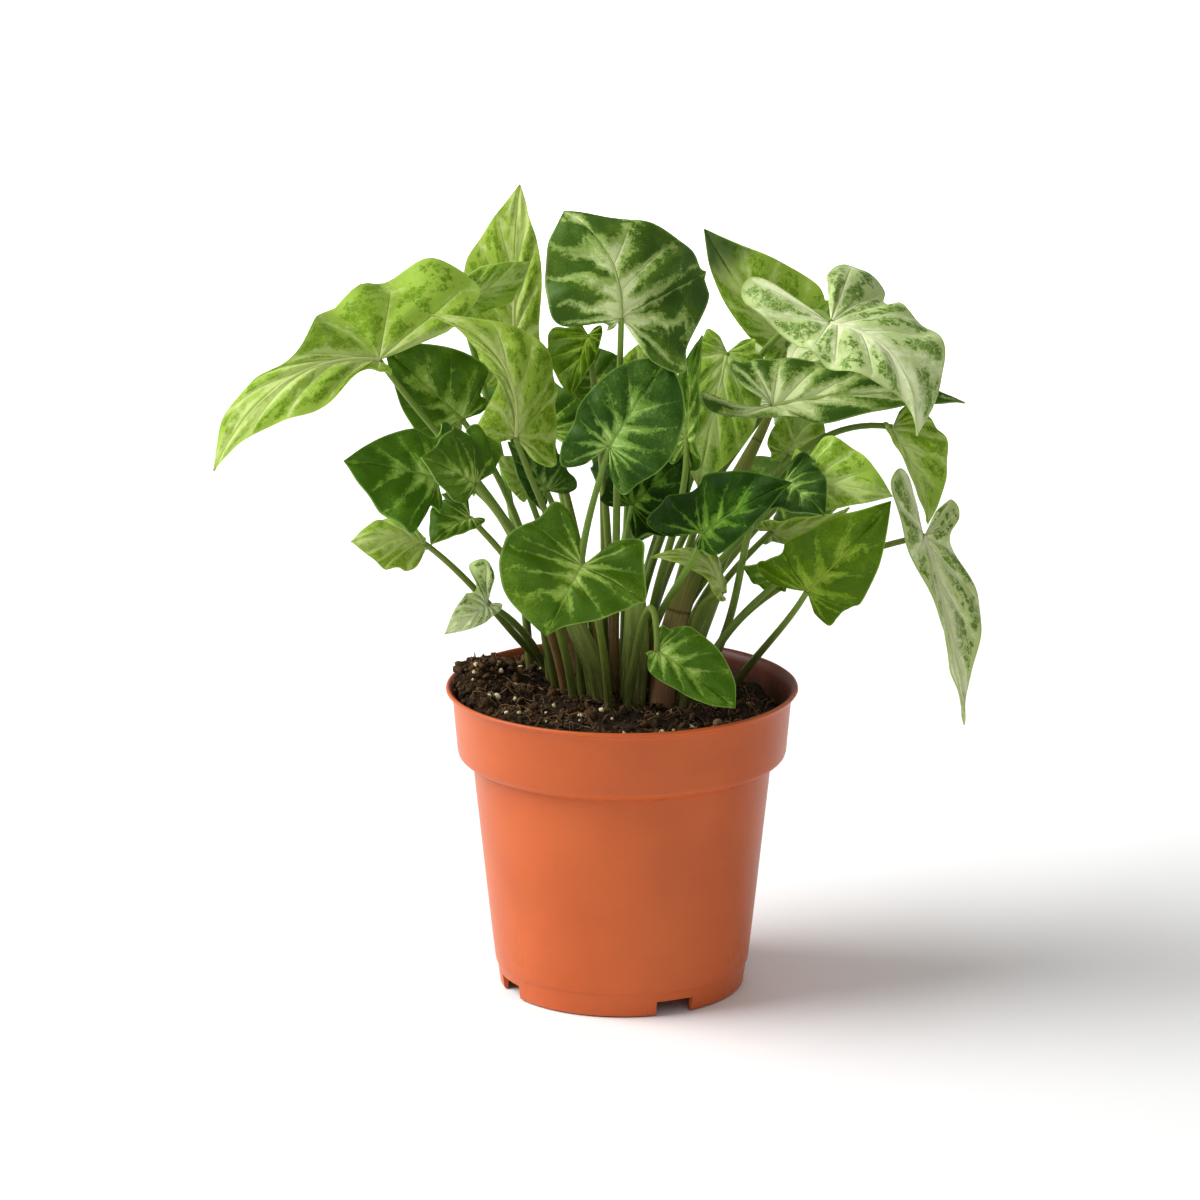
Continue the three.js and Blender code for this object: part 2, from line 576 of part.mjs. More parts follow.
// The stalk's line, from below the soil to the blade and on along the underside as the midrib.
function stalkPoints(leaf, frame) {
  const root = new THREE.Vector3(leaf.root[0], leaf.root[1], soilHeight(...leaf.root));
  const reach = frame.base.clone().sub(root);
  const s = STALK;
  const plainRise = reach.clone().multiply(vector([s.startAcross, s.startAcross, s.startUp]));
  plainRise.z += reach.length() * s.startReach;
  const plainBow = reach.clone().multiply(vector([-s.endAcross, -s.endAcross, -s.endUp]));
  const rise = leaf.rise ? vector(leaf.rise) : plainRise;
  const bow = leaf.bow ? vector(leaf.bow) : plainBow;
  const curve = new THREE.CubicBezierCurve3(
    root,
    root.clone().add(rise),
    frame.base.clone().add(bow),
    frame.base,
  );
  const foot = root.clone().addScaledVector(rise.clone().normalize(), -STALK.depth);
  const points = [foot, ...curve.getPoints(STALK.steps)];
  const { point, normal } = bladePoint(leaf, frame, 0, STALK.ribEnd, 0);
  points.push(point.addScaledVector(normal, -BLADE.thickness / 2));
  return points;
}

function stalkRadii(leaf, count) {
  const radii = [];
  for (let i = 0; i < count - 1; i += 1) {
    radii.push(THREE.MathUtils.lerp(leaf.thick, STALK.bladeRadius, i / (count - 2)));
  }
  return [...radii, STALK.ribRadius];
}

function buildLeaf(leaf) {
  const frame = leafFrame(leaf);
  const points = stalkPoints(leaf, frame);
  const radii = stalkRadii(leaf, points.length);
  const sides = leaf.thick > STALK.thickest ? CANE.sides : STALK.sides;
  const solid = blade(leaf, frame).add(taperedBar(points, radii, sides));
  return { solid, socket: socketFor(points, radii, sides) };
}

// ---- Canes ----
function buildCane(cane) {
  const [x, y] = cane.path[0];
  const knots = [new THREE.Vector3(x, y, soilHeight(x, y)), ...cane.path.slice(1).map(vector)];
  const curve = new THREE.CatmullRomCurve3(knots);
  const foot = knots[0].clone().addScaledVector(curve.getTangent(0), -CANE.depth);
  const points = [foot];
  const radii = [cane.radii[0]];
  for (let i = 0; i <= CANE.steps; i += 1) {
    points.push(curve.getPoint(i / CANE.steps));
    radii.push(spline(cane.radii.map((r) => [r]), i / CANE.steps)[0]);
  }
  const solid = taperedBar(points, radii, CANE.sides);
  return { solid, socket: socketFor(points, radii, CANE.sides) };
}

// ---- Pot ----
function potProfile() {
  const p = POT;
  const top = p.height;
  const floorTop = p.footHeight + p.wall;
  const lipFoot = top - 2 * p.lipHeight;
  return [
    [0, p.footHeight],
    [p.footBottomRadius - p.wall, p.footHeight],
    [p.footBottomRadius - p.wall, 0],
    [p.footBottomRadius, 0],
    [p.footRadius - p.footStep, p.footHeight],
    [p.footRadius, p.footHeight + p.footStep],
    [p.bodyTopRadius, p.bodyTop],
    [p.collarBottomRadius, p.collarBottom],
    [p.collarTopRadius, lipFoot],
    [p.lipRadius, top - p.lipHeight],
    [p.lipRadius - p.lipBevel, top],
    [p.lipRadius - p.wall, top],
    [p.collarTopRadius - p.wall, lipFoot - p.innerStep],
    [p.collarBottomRadius - p.wall, p.collarBottom + p.innerStep],
    [p.bodyTopRadius - p.wall, p.bodyTop + p.innerStep],
    [p.footRadius - p.wall, floorTop],
    [0, floorTop],
  ].map(([radius, z]) => new THREE.Vector2(radius, z));
}

function buildPot() {
  let pot = solidFromGeometry(new THREE.LatheGeometry(potProfile(), POT.sides).rotateX(Math.PI / 2));
  for (let i = 0; i < NOTCH.count; i += 1) {
    const angle = radians(NOTCH.firstAngle + 90 + (360 / NOTCH.count) * i);
    const notch = new THREE.BoxGeometry(NOTCH.cutDepth, NOTCH.width, 2 * NOTCH.height);
    notch.translate(POT.footBottomRadius, 0, 0).rotateZ(angle);
    const hole = new THREE.CylinderGeometry(DRAIN.radius, DRAIN.radius, 4 * POT.wall, DRAIN.sides);
    hole.rotateX(Math.PI / 2).translate(DRAIN.ring, 0, POT.footHeight + POT.wall / 2).rotateZ(angle);
    pot = pot.subtract(solidFromGeometry(notch)).subtract(solidFromGeometry(hole));
  }
  return pot.translate([POT.centreX, 0, 0]);
}

// ---- Soil ----
function soilRadius(z) {
  const p = POT;
  if (z > p.collarBottom) return p.collarBottomRadius - p.wall - SOIL.collarGap;
  const share = (z - p.footHeight) / (p.bodyTop - p.footHeight);
  return THREE.MathUtils.lerp(p.footRadius, p.bodyTopRadius, share) - p.wall - SOIL.wallGap;
}

function buildSoil(sockets) {
  const bottom = POT.footHeight + POT.wall + CLEARANCE;
  const ringAt = (radius, height) => {
    const ring = [];
    for (let k = 0; k < SOIL.spokes; k += 1) {
      const turn = (2 * Math.PI * k) / SOIL.spokes;
      const x = POT.centreX + radius * Math.cos(turn);
      const y = radius * Math.sin(turn);
      ring.push([x, y, height ?? soilHeight(x, y)]);
    }
    return ring;
  };
  const shoulder = POT.bodyTop + POT.innerStep;
  const rings = [ringAt(soilRadius(bottom), bottom), ringAt(soilRadius(shoulder), shoulder)];
  const top = soilRadius(POT.height);
  rings.push(ringAt(top, POT.collarBottom + 2 * POT.innerStep));
  for (let i = SOIL.rings; i > 0; i -= 1) rings.push(ringAt((top * i) / SOIL.rings));
  const low = [POT.centreX, 0, bottom];
  const peak = [POT.centreX, 0, soilHeight(POT.centreX, 0)];
  const triangles = [];
  for (let k = 0; k < SOIL.spokes; k += 1) {
    const n = (k + 1) % SOIL.spokes;
    triangles.push([low, rings[0][n], rings[0][k]]);
    for (let i = 0; i + 1 < rings.length; i += 1) {
      triangles.push([rings[i][k], rings[i][n], rings[i + 1][n]]);
      triangles.push([rings[i][k], rings[i + 1][n], rings[i + 1][k]]);
    }
    triangles.push([peak, rings[rings.length - 1][k], rings[rings.length - 1][n]]);
  }
  return sockets.reduce((soil, socket) => soil.subtract(socket), solidFrom(triangles));
}

// ---- The plant ----
const plant = new THREE.Group();

// Each piece has its own origin: the foot of a stalk, or the pot's middle.
function addPiece(name, tone, solid, [x, y, z]) {
  const [color, roughness] = FINISH[tone];
  const material = new THREE.MeshStandardMaterial({ color, roughness, metalness: 0 });
  const mesh = new THREE.Mesh(geometryFrom(solid.translate([-x, -y, -z])), material);
  mesh.name = name;
  mesh.position.set(x, y, z);
  plant.add(mesh);
}

const sockets = [];
LEAVES.forEach((numbers, i) => {
  const leaf = { ...LEAF_DEFAULTS, phase: i * WAVE.leafPhase, ...numbers };
  const { solid, socket } = buildLeaf(leaf);
  addPiece(leaf.name, leaf.tone, solid, [...leaf.root, SOIL.level]);
  sockets.push(socket);
});
for (const cane of CANES) {
  const { solid, socket } = buildCane(cane);
  addPiece(cane.name, cane.tone, solid, [...cane.path[0], SOIL.level]);
  sockets.push(socket);
}
const potMiddle = [POT.centreX, 0, 0];
addPiece("soil", "soil", buildSoil(sockets), potMiddle);
addPiece("pot", "plastic", buildPot(), potMiddle);

export default plant;
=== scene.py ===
"""Arrowhead plant (Syngonium) in a plastic nursery pot: the fine leaves, stalks, soil and pot."""
import math
import random

import bmesh
import bpy
import numpy as np
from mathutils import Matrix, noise


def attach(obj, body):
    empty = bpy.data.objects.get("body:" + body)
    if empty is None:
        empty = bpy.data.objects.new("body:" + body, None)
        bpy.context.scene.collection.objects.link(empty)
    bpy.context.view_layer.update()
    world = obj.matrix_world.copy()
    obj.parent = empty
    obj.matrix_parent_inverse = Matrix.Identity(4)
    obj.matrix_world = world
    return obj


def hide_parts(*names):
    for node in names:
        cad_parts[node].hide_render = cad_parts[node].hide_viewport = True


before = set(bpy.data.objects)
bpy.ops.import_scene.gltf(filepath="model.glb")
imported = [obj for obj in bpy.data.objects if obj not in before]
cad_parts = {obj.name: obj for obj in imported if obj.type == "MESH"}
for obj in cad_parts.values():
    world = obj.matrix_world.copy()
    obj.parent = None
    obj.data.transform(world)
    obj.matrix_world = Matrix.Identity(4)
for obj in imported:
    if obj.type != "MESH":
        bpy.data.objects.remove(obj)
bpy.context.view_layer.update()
rng = random.Random(11)
MM = 0.001

# ---- The plant's own measures, in mm, as in the CAD source ----
POT_X = 7.5
POT_HEIGHT = 105
SOIL_LEVEL = 99
SOIL_TILT = 0.085
SOIL_LUMPS = 1.3
LUMP_WIDTH = 3.4
SWELL = 0.6
SWELL_WIDTH = 4.4
HEAP_X, HEAP_Y, HEAP_WIDTH, HEAP_DEPTH, HEAP_HEIGHT = -43, 6, 15, 24, 8
STALK_DEPTH = 9
CANE_DEPTH = 12

# Each leaf: its name and tone, where its stalk leaves the soil (root) and meets the blade (base), its tip,
# the way its upper face looks, and the shape of its left and right half in parts of its length and degrees.
# One number is for both halves. look is for a leaf that looks other than its tone says, and husk for dry skin
# at the foot of its stalk. rise and bow say in mm which way the stalk leaves the soil and comes to the blade.
LEAF_COLUMNS = ("name", "tone", "root", "base", "tip", "face", "wide", "lobe")
LEAF_DEFAULTS = dict(
    spread=60, arch=0.1, sweep=0, fold=15, curl=25, droop=0, waist=0.92, belly=0.24, round=14,
    wave=0.02, waves=2.5, thick=1.5, full=0.35,
)


def row(*columns, **rest):
    return {**LEAF_DEFAULTS, **dict(zip(LEAF_COLUMNS, columns)), **rest}


LEAVES = [
    row("leaf_01", "pale", [-1, 23], [-29, 22, 220], [-27, 28, 273], [-0.3, -1, 0.25], [0.34, 0.19], 0.35,
        look="lime", spread=35, arch=0.05, fold=[10, 15], belly=0.4, full=[0.1, 0.3]),
    row("leaf_02", "lime", [-12, 16], [-73, -30, 225], [-127, -50, 192], [-0.3, -0.8, 0.6], [0.22, 0.11],
        [0.1, 0.72], husk=True, spread=[90, 25], arch=0.33, fold=[0, 10], curl=[25, 8], waist=[0.35, 3.6],
        belly=[0.38, 0.36], round=18, rise=[-6, -9, 57], bow=[26, 14, -41], full=[0, 1.6]),
    row("leaf_03", "back", [-24, 27], [-48, 14, 236], [-24, 18, 248], [-0.2, -0.9, -0.5], 0.32, 0.4,
        look="lime", spread=40, belly=0.5),
    row("leaf_04", "dark", [-15, 10], [-54, -40, 187], [-84, -56, 197], [-0.1, -0.85, 0.5], [0.6, 0.42],
        [0.35, 0.6], look="mid", spread=[100, 72], arch=0.08, belly=[0.2, 0.24], bow=[20, 36, -6],
        full=[0.5, 0.4]),
    row("leaf_05", "dark", [-17, 16], [-46, -10, 200], [-72, -14, 226], [-0.1, -0.9, 0.4], [0.38, 0.5],
        [0.35, 0.3], look="mid", spread=[78, 85], arch=0.05, rise=[-4, -2, 45], bow=[16, 6, -25],
        full=[0.3, 0.5]),
    row("leaf_06", "mid", [-9, -2], [-41, -60, 190], [-58, -76, 203], [0, -0.8, 0.6], [0.33, 0.72],
        [0.15, 1.15], spread=[90, 60], arch=0.06, fold=0, belly=[0.35, 0.25], full=[0.5, 0]),
    row("leaf_07", "mid", [-15, 28], [-59, -20, 160], [-83, -30, 163], [-0.1, -0.7, 0.7], [0.4, 0.42], 0.1,
        look="lime", spread=70, arch=0.12, fold=[-20, 0], belly=[0.55, 0.24], rise=[-15, -10, 14],
        bow=[20, 13, -19]),
    row("leaf_08", "dark", [-12, 6], [-43, -34, 172], [-56, -42, 165], [-0.3, -0.7, 0.6], [0.3, 0.7],
        [0.3, 0.9], look="mid", husk=True, spread=[60, 80]),
    row("leaf_09", "pale", [-18, 21], [-38, -22, 139], [-52, -30, 131], [0.6, -0.6, 0.5], [0.25, 0.4],
        [0.3, 0.9], spread=[40, 60], rise=[-4, -3, 11], bow=[8, 19, -8]),
    row("leaf_10", "dark", [5, 10], [7, -30, 239], [-12, -10, 271], [0.12, -0.78, 0.6], [0.6, 0.9],
        [0.15, 0.68], look="feather", husk=True, spread=[80, 40], sweep=-0.12, fold=[0, -5], curl=[20, 35],
        waist=[0.8, 1.1], belly=[0.3, 0.14], full=[0.7, 0.2]),
    row("leaf_11", "dark", [-6, 4], [3, -36, 197], [22, -28, 225], [0, -0.95, 0.35], [0.45, 0.56], 0.48,
        spread=[42, 58], arch=0.06, rise=[-5, -4, 48], bow=[-6, 10, -25], full=0.9),
    row("leaf_12", "mid", [3, -8], [-6, -54, 161], [-18, -62, 139], [0, -0.95, 0.4], [0.84, 1], [0.82, 0.86],
        spread=[48, 56], arch=0.08, waist=[1.1, 0.98], belly=[0.14, 0.2], full=[-0.2, 1]),
    row("leaf_13", "dark", [14, 11], [34, -38, 168], [63, -53, 189], [0.05, -0.8, 0.6], [0.42, 0.27],
        [0.6, 0.15], look="deep", spread=[42, 60], arch=0.06, rise=[4, -8, 37], bow=[-5, 12, -23]),
    row("leaf_14", "dark", [32, 16], [61, -38, 185], [74, -50, 177], [0.2, -0.8, 0.55], 0.6, [0.75, 0.5],
        spread=[80, 60], rise=[22, -18, 36], bow=[-19, 18, -14]),
    row("leaf_15", "pale", [20, 17], [64, -28, 183], [97, -36, 180], [0.1, -0.85, 0.5], [0.48, 0.3],
        [0.32, 0.25], look="lime", spread=[98, 60], rise=[6, -5, 41], bow=[-11, 16, -21]),
    row("leaf_16", "back", [27, 22], [58, -4, 160], [84, -8, 169], [0.1, -0.8, -0.6], 0.25, 0.25,
        look="lime", spread=50),
    row("leaf_17", "lime", [43, 16], [69, -34, 147], [96, -46, 181], [0.25, -0.9, 0.35], [0.38, 0.34],
        [0.42, 0.31], look="vivid", spread=[82, 80], arch=0.08, rise=[10, -2, 16], bow=[-6, 8, -14]),
    row("leaf_18", "pale", [34, 20], [108, -30, 165], [122, -36, 101], [0.25, -0.9, 0.3], [0.22, 0.06],
        [0.25, 0.36], spread=[64, 14], arch=0.06, fold=[0, 40], waist=[0.6, 2.3], belly=0.37,
        rise=[8, -6, 34], bow=[-40, 10, -12], full=-0.3),
    row("leaf_19", "pale", [11, 30], [76, -32, 238], [104, -50, 204], [0.3, -0.78, 0.55], [0.46, 0.36],
        [0.84, 0.6], spread=[66, 16], arch=0.17, sweep=0.14, fold=0, waist=[1.15, 0.85], round=12,
        rise=[0, 20, 50], bow=[-8, 62, 10], full=[1.1, -0.3]),
    row("leaf_20", "pale", [21, 2], [58, -6, 204], [123, 2, 203], [0.05, -0.7, 0.7], [0.22, 0.16],
        [0.34, 0.4], look="feather", spread=[62, 12], droop=[0, -1.5], waist=[1.2, 0.55], round=5, thick=4.6,
        rise=[1, -3, 42], bow=[-6, 16, -22], full=0),
    row("leaf_21", "lime", [20, 25], [64, 25, 219], [35, 21, 259], [0.1, -0.95, 0.2], [0.17, 0.42],
        [0.24, 0.5], look="lime_dark_tip", spread=[70, 75], arch=0.06, sweep=0.05, full=[0.8, 0.2]),
    row("leaf_22", "lime", [15, 24], [43, 13, 218], [33, 6, 173], [-0.1, -1, 0.1], [0.32, 0.28], 0.22,
        arch=0.06, belly=0.45, bow=[-6, 2, -36]),
    row("leaf_23", "lime", [30, 24], [98, -8, 197], [110, -14, 165], [0.35, -0.8, 0.4], [0.44, 0.08],
        [0.3, 0.1], spread=[70, 50], arch=0.12, rise=[6, 0, 40], bow=[-40, 4, 6]),
    row("leaf_24", "lime", [5, 15], [-4, 4, 226], [-10, -2, 206], [-0.3, -0.9, 0.3], [0.25, 0.6],
        [0.25, 0.35], look="vivid", husk=True, spread=[50, 70], arch=0.06),
    row("leaf_25", "pale", [16, 15], [29, -8, 193], [34, -10, 229], [-0.6, -0.8, 0.2], [0.2, 0.14], 0.3,
        look="mid", spread=30, arch=0.05, rise=[-2, -1, 39], bow=[1, -14, -28]),
    row("leaf_26", "dark", [11, 14], [11, 4, 167], [30, 0, 187], [0.2, -0.9, 0.4], [0.5, 0.6], 0.4,
        look="deep", arch=0.06, rise=[0, -7, 34], bow=[-5, 3, -23]),
    row("leaf_27", "mid", [9, -8], [19, -40, 128], [45, -50, 111], [0.1, -0.9, 0.5], [0.4, 0.25],
        [0.28, 0.12], spread=[72, 60], arch=0.08, rise=[6, 0, 44], bow=[0, 6, 20], full=0.9),
    row("leaf_28", "lime", [28, -4], [41, -10, 140], [17, -16, 154], [0, -0.6, 0.8], [0.2, 0.25], 0.1,
        spread=50, arch=0.3, rise=[2, 5, 19], bow=[-12, 14, -7]),
    row("leaf_29", "back", [31, 1], [61, -14, 146], [48, -16, 151], [0.1, -0.8, -0.6], [0.45, 0.55], 0.4,
        arch=0.06),
    row("leaf_30", "lime", [-5, 20], [-28, -27, 198], [-57, -15, 237], [0.15, -0.9, 0.4], [0.1, 0.4], 0.36,
        spread=[125, 40], sweep=-0.2, fold=[10, -5], belly=[0.35, 0.16], rise=[-3, -8, 48], bow=[9, 9, -30],
        full=[0, 0.15]),
    row("leaf_31", "dark", [1, 7], [-18, -8, 175], [-31, -12, 193], [0.2, -0.9, 0.4], [0.3, 0.5], [0.3, 0.5],
        husk=True),
    row("leaf_32", "lime", [-10, 23], [-25, -4, 175], [-35, -8, 187], [0.2, -0.9, 0.4], [0.3, 0.5], 0.3),
    row("leaf_33", "lime", [8, 20], [11, 10, 207], [23, 16, 225], [0, -0.95, 0.3], [0.35, 0.6], 0.4),
    row("leaf_34", "back", [2, 26], [0, 24, 202], [-6, 30, 217], [0, -0.95, 0.3], [0.5, 0.7], 0.4),
    row("leaf_35", "lime", [30, 28], [64, 6, 184], [72, 10, 204], [0, -0.95, 0.3], [0.4, 0.5], 0.3),
    row("leaf_36", "mid", [-4, 34], [-19, 44, 183], [-39, 75, 196], [-0.3, 0.5, 0.8], 0.5, 0.5, spread=50,
        arch=0.15),
    row("leaf_37", "dark", [4, 34], [14, 42, 176], [22, 75, 192], [0, 0.6, 0.8], 0.55, 0.5, spread=50,
        arch=0.15),
    row("leaf_38", "pale", [14, 34], [59, 40, 194], [77, 75, 210], [0.3, 0.6, 0.7], 0.5, 0.5, spread=50,
        arch=0.15),
    row("leaf_39", "mid", [24, 32], [62, 38, 159], [90, 72, 162], [0.5, 0.5, 0.7], 0.5, 0.5, spread=50,
        arch=0.15),
    row("leaf_40", "mid", [-4, 41], [-14, 50, 124], [-30, 75, 126], [-0.3, 0.6, 0.7], 0.5, 0.4, spread=50,
        arch=0.15),
    row("leaf_41", "dark", [10, 40], [20, 50, 146], [36, 75, 148], [0.1, 0.6, 0.7], 0.5, 0.4, spread=50,
        arch=0.15),
]
CANES = [
    dict(name="cane_left", tone="bark", radii=[5, 4.5, 4, 3],
         path=[[-5, 12], [-9, 8, 118], [-13, 2, 132], [-14, -2, 144]]),
    dict(name="sheath_left", tone="sheath", radii=[4, 3.6, 3, 2],
         path=[[0, -1], [-3, -3, 115], [-9, -8, 130], [-12, -13, 144]]),
    dict(name="sheath_middle", tone="sheath", radii=[4.8, 4.4, 3.6, 2.4],
         path=[[11, 3], [12, -2, 118], [12, -7, 134], [11, -10, 150]]),
    dict(name="sheath_right", tone="sheath", radii=[4.5, 4, 3.4, 2.4],
         path=[[27, 10], [31, 8, 116], [36, 6, 130], [41, 4, 141]]),
]

# Where the half blade's rows start along the midrib, from the notch to the tip, as shares of the length.
VEIN_STARTS = [0, 0, 0, 0, 0, 0.03, 0.19, 0.46, 1]
LOBE_EDGE_ROW = 1 / 8
# Where each side vein lies, as a share of the way round the half blade from its notch to its tip.
VEIN_ROWS = [LOBE_EDGE_ROW, 0.27, 0.41, 0.53, 0.64, 0.745, 0.85, 1.0]
ROWS_PER_VEIN = 10
BLADE_COLUMNS = 19
BLADE_THICKNESS = 0.5
LOBE_SLOPE = 0.35
WELD = 0.002

# Relief of a blade, in mm where it isn't a share.
QUILT_SHARE, QUILT_MOST, NARROW_GAP = 0.075, 0.9, 3
FRILL_SHARE = 0.013
GROOVE_WIDTH, GROOVE_DEPTH, GROOVE_FULL_LENGTH = 1.1, 0.35, 40
RIB_SINK, RIB_RADIUS, RIB_TIP_RADIUS, RIB_FULL_LENGTH = 0.35, 0.75, 0.12, 45

# The material slots of a leaf, in the order that its materials are given in.
FRONT_SLOT, UNDER_SLOT, STALK_SLOT, CANE_SLOT, RIB_SLOT = range(5)


# ---- Shape of a leaf ----
def unit(v):
    v = np.asarray(v, float)
    return v / np.linalg.norm(v)


def spline(rows, x):
    """Catmull-Rom curve through evenly spaced rows of numbers, at an array of x from 0 to 1."""
    p = np.asarray(rows, float)
    if p.ndim == 1:
        p = p[:, None]
    p = np.vstack([2 * p[:1] - p[1:2], p, 2 * p[-1:] - p[-2:-1]])
    last = len(p) - 3
    at = np.clip(np.asarray(x, float), 0, 1) * last
    i = np.minimum(at.astype(int), last - 1)
    f = (at - i)[..., None]
    a, b, c, d = p[i], p[i + 1], p[i + 2], p[i + 3]
    return 0.5 * (2 * b + (c - a) * f + (2 * a - 5 * b + 4 * c - d) * f**2 + (3 * b - a - 3 * c + d) * f**3)


def pair(value, half):
    return value[half] if isinstance(value, (list, tuple)) else value


def polar(length, degrees):
    return [-length * math.cos(math.radians(degrees)), length * math.sin(math.radians(degrees))]


def outline(leaf, half):
    """The half blade's margin, from the notch round the lobe, waist and belly to the tip."""
    lobe, spread, wide = (pair(leaf[k], half) for k in ("lobe", "spread", "wide"))
    lobe_edge = polar(0.95 * lobe, spread + leaf["round"])
    waist_at = max(0.02, lobe_edge[0] + 0.1)
    belly = max(pair(leaf["belly"], half), waist_at + 0.12)
    full = pair(leaf["full"], half)
    return [
        [0, 0],
        polar(0.55 * lobe, max(spread - 22, 2)),
        polar(lobe, max(spread - 8, 4)),
        lobe_edge,
        [waist_at, wide * pair(leaf["waist"], half)],
        [belly, wide],
        [belly + (1 - belly) * 0.4, wide * (0.7 + 0.2 * full)],
        [belly + (1 - belly) * 0.74, wide * (0.27 + 0.33 * full)],
        [1, 0],
    ]


class Blade:
    """One leaf's blade: its own axes and the surface that its points lie on."""

    def __init__(self, leaf, index):
        self.leaf = leaf
        self.phase = index * 2.4
        self.base = np.array(leaf["base"], float)
        along = np.array(leaf["tip"], float) - self.base
        self.length = np.linalg.norm(along)
        self.along = along / self.length
        out = np.array(leaf["face"], float)
        self.out = unit(out - self.along * (out @ self.along))
        self.across = np.cross(self.out, self.along)

    def surface(self, half, u, v, lift=0.0):
        """Points at u along and v out from the midrib, lifted off the blade by so many mm."""
        leaf = self.leaf
        sign = 1 if half == 0 else -1
        inside = np.clip(u, 0, 1)
        behind = np.minimum(u, 0)
        droop = pair(leaf["droop"], half)
        rise = leaf["arch"] * 4
        slope = rise * (1 - 2 * inside)
        height = rise * inside * (1 - inside) + slope * behind * LOBE_SLOPE - droop * behind**2
        drift = leaf["sweep"] * (4 * inside * (1 - inside) + 1.2 * behind)
        slope = np.where(behind < 0, slope * LOBE_SLOPE - 2 * droop * behind, slope)
        scale = np.hypot(1, slope)
        fold = math.radians(pair(leaf["fold"], half))
        bend = math.radians(pair(leaf["curl"], half) or 0.1) / max(pair(leaf["wide"], half), 0.2)
        angle = fold - bend * v
        wave = leaf["wave"] * np.minimum(v / 0.3, 1.5) ** 2
        phase = self.phase + (0 if half == 0 else 1.3)
        y = sign * (math.sin(fold) - np.sin(angle)) / bend
        z = (np.cos(angle) - math.cos(fold)) / bend
        z = z + wave * np.sin(2 * math.pi * leaf["waves"] * u + phase)
        tilt = np.where(v > 1e-6, angle, 0)
        axes = np.stack([self.along, self.across, self.out])
        point = np.stack([u - slope / scale * z, drift + y, height + z / scale], -1) @ axes
        level = np.cos(tilt) / scale
        normal = np.stack([-slope * level, -sign * np.sin(tilt), level], -1) @ axes
        return self.base + self.length * point + normal * np.asarray(lift)[..., None]


# ---- Meshes ----
class Pile:
    """The vertices and faces of one object's forms, with nine numbers for each vertex, which the materials
    read as three vectors: place, vein and share."""

    def __init__(self):
        self.verts, self.faces, self.slots, self.data = [], [], [], []
        self.count = 0

    def add(self, verts, faces, data, slot=0):
        self.verts.append(np.asarray(verts, float))
        self.data.append(np.asarray(data, float))
        self.count += len(verts)
        self.add_faces(faces, slot)

    def add_faces(self, faces, slot):
        """Faces on the vertices that were added last."""
        start = self.count - len(self.verts[-1])
        self.faces.extend([tuple(int(i) + start for i in face) for face in faces])
        self.slots.extend([slot] * len(faces))

    def build(self, name, materials, sharp=None, weld=WELD):
        """The object, with points within weld of each other joined and edges over sharp degrees sharp."""
        verts, data = np.vstack(self.verts), np.vstack(self.data)
        _, first, same = np.unique(np.round(verts / weld), axis=0, return_index=True, return_inverse=True)
        same = same.reshape(-1)
        faces, corners, slots = [], [], []
        for face, slot in zip(self.faces, self.slots):
            kept = [i for k, i in enumerate(face) if same[i] != same[face[k - 1]]]
            if len(kept) > 2:
                faces.append([int(same[i]) for i in kept])
                corners.extend(kept)
                slots.append(slot)
        mesh = bpy.data.meshes.new(name)
        mesh.from_pydata([tuple(p) for p in verts[first] * MM], [], faces)
        for material in materials:
            mesh.materials.append(material)
        mesh.polygons.foreach_set("material_index", slots)
        mesh.polygons.foreach_set("use_smooth", [True] * len(faces))
        for k, label in enumerate(("place", "vein", "share")):
            part = data[corners, 3 * k:3 * k + 3]
            layer = mesh.attributes.new(label, "FLOAT_VECTOR", "CORNER")
            layer.data.foreach_set("vector", part.astype(np.float32).ravel())
        if sharp is not None:
            mesh.set_sharp_from_angle(angle=math.radians(sharp))
        mesh.update()
        obj = bpy.data.objects.new(name, mesh)
        bpy.context.scene.collection.objects.link(obj)
        return obj


def sides_along(points):
    """Two directions square to the line at each point, turning as little as they can."""
    ahead = np.gradient(points, axis=0)
    ahead /= np.linalg.norm(ahead, axis=1)[:, None]
    side = np.array([0.0, 1.0, 0.0])
    sides = []
    for d in ahead:
        side = unit(side - d * (side @ d))
        sides.append(side)
    sides = np.array(sides)
    return sides, np.cross(ahead, sides)


def tube(pile, points, radii, sides, seed, slot, shape=None):
    """A closed round bar along points. shape gives a factor on the radius at a share of the run and a turn.
    place holds the run in mm, the turn and the seed, and vein the height as its second number."""
    points = np.asarray(points, float)
    n = len(points)
    side, other = sides_along(points)
    turn = np.arange(sides) * 2 * math.pi / sides
    factor = np.ones((n, sides)) if shape is None else shape(np.linspace(0, 1, n)[:, None], turn)
    ring = side[:, None] * np.cos(turn)[:, None] + other[:, None] * np.sin(turn)[:, None]
    verts = points[:, None] + ring * (np.asarray(radii, float)[:, None] * factor)[..., None]
    run = np.concatenate([[0], np.cumsum(np.linalg.norm(np.diff(points, axis=0), axis=1))])
    data = np.zeros((n, sides, 9))
    data[..., 0] = run[:, None]
    data[..., 1] = turn * 10
    data[..., 2] = seed
    data[..., 4] = verts[..., 2]
    faces = []
    for i in range(n - 1):
        for k in range(sides):
            m = (k + 1) % sides
            faces.append((i * sides + k, i * sides + m, (i + 1) * sides + m, (i + 1) * sides + k))
    faces.append(tuple(reversed(range(sides))))
    faces.append(tuple((n - 1) * sides + k for k in range(sides)))
    pile.add(verts.reshape(-1, 3), faces, data.reshape(-1, 9), slot)


def bezier(a, b, c, d, t):
    t = t[:, None]
    return (1 - t) ** 3 * a + 3 * (1 - t) ** 2 * t * b + 3 * (1 - t) * t**2 * c + t**3 * d


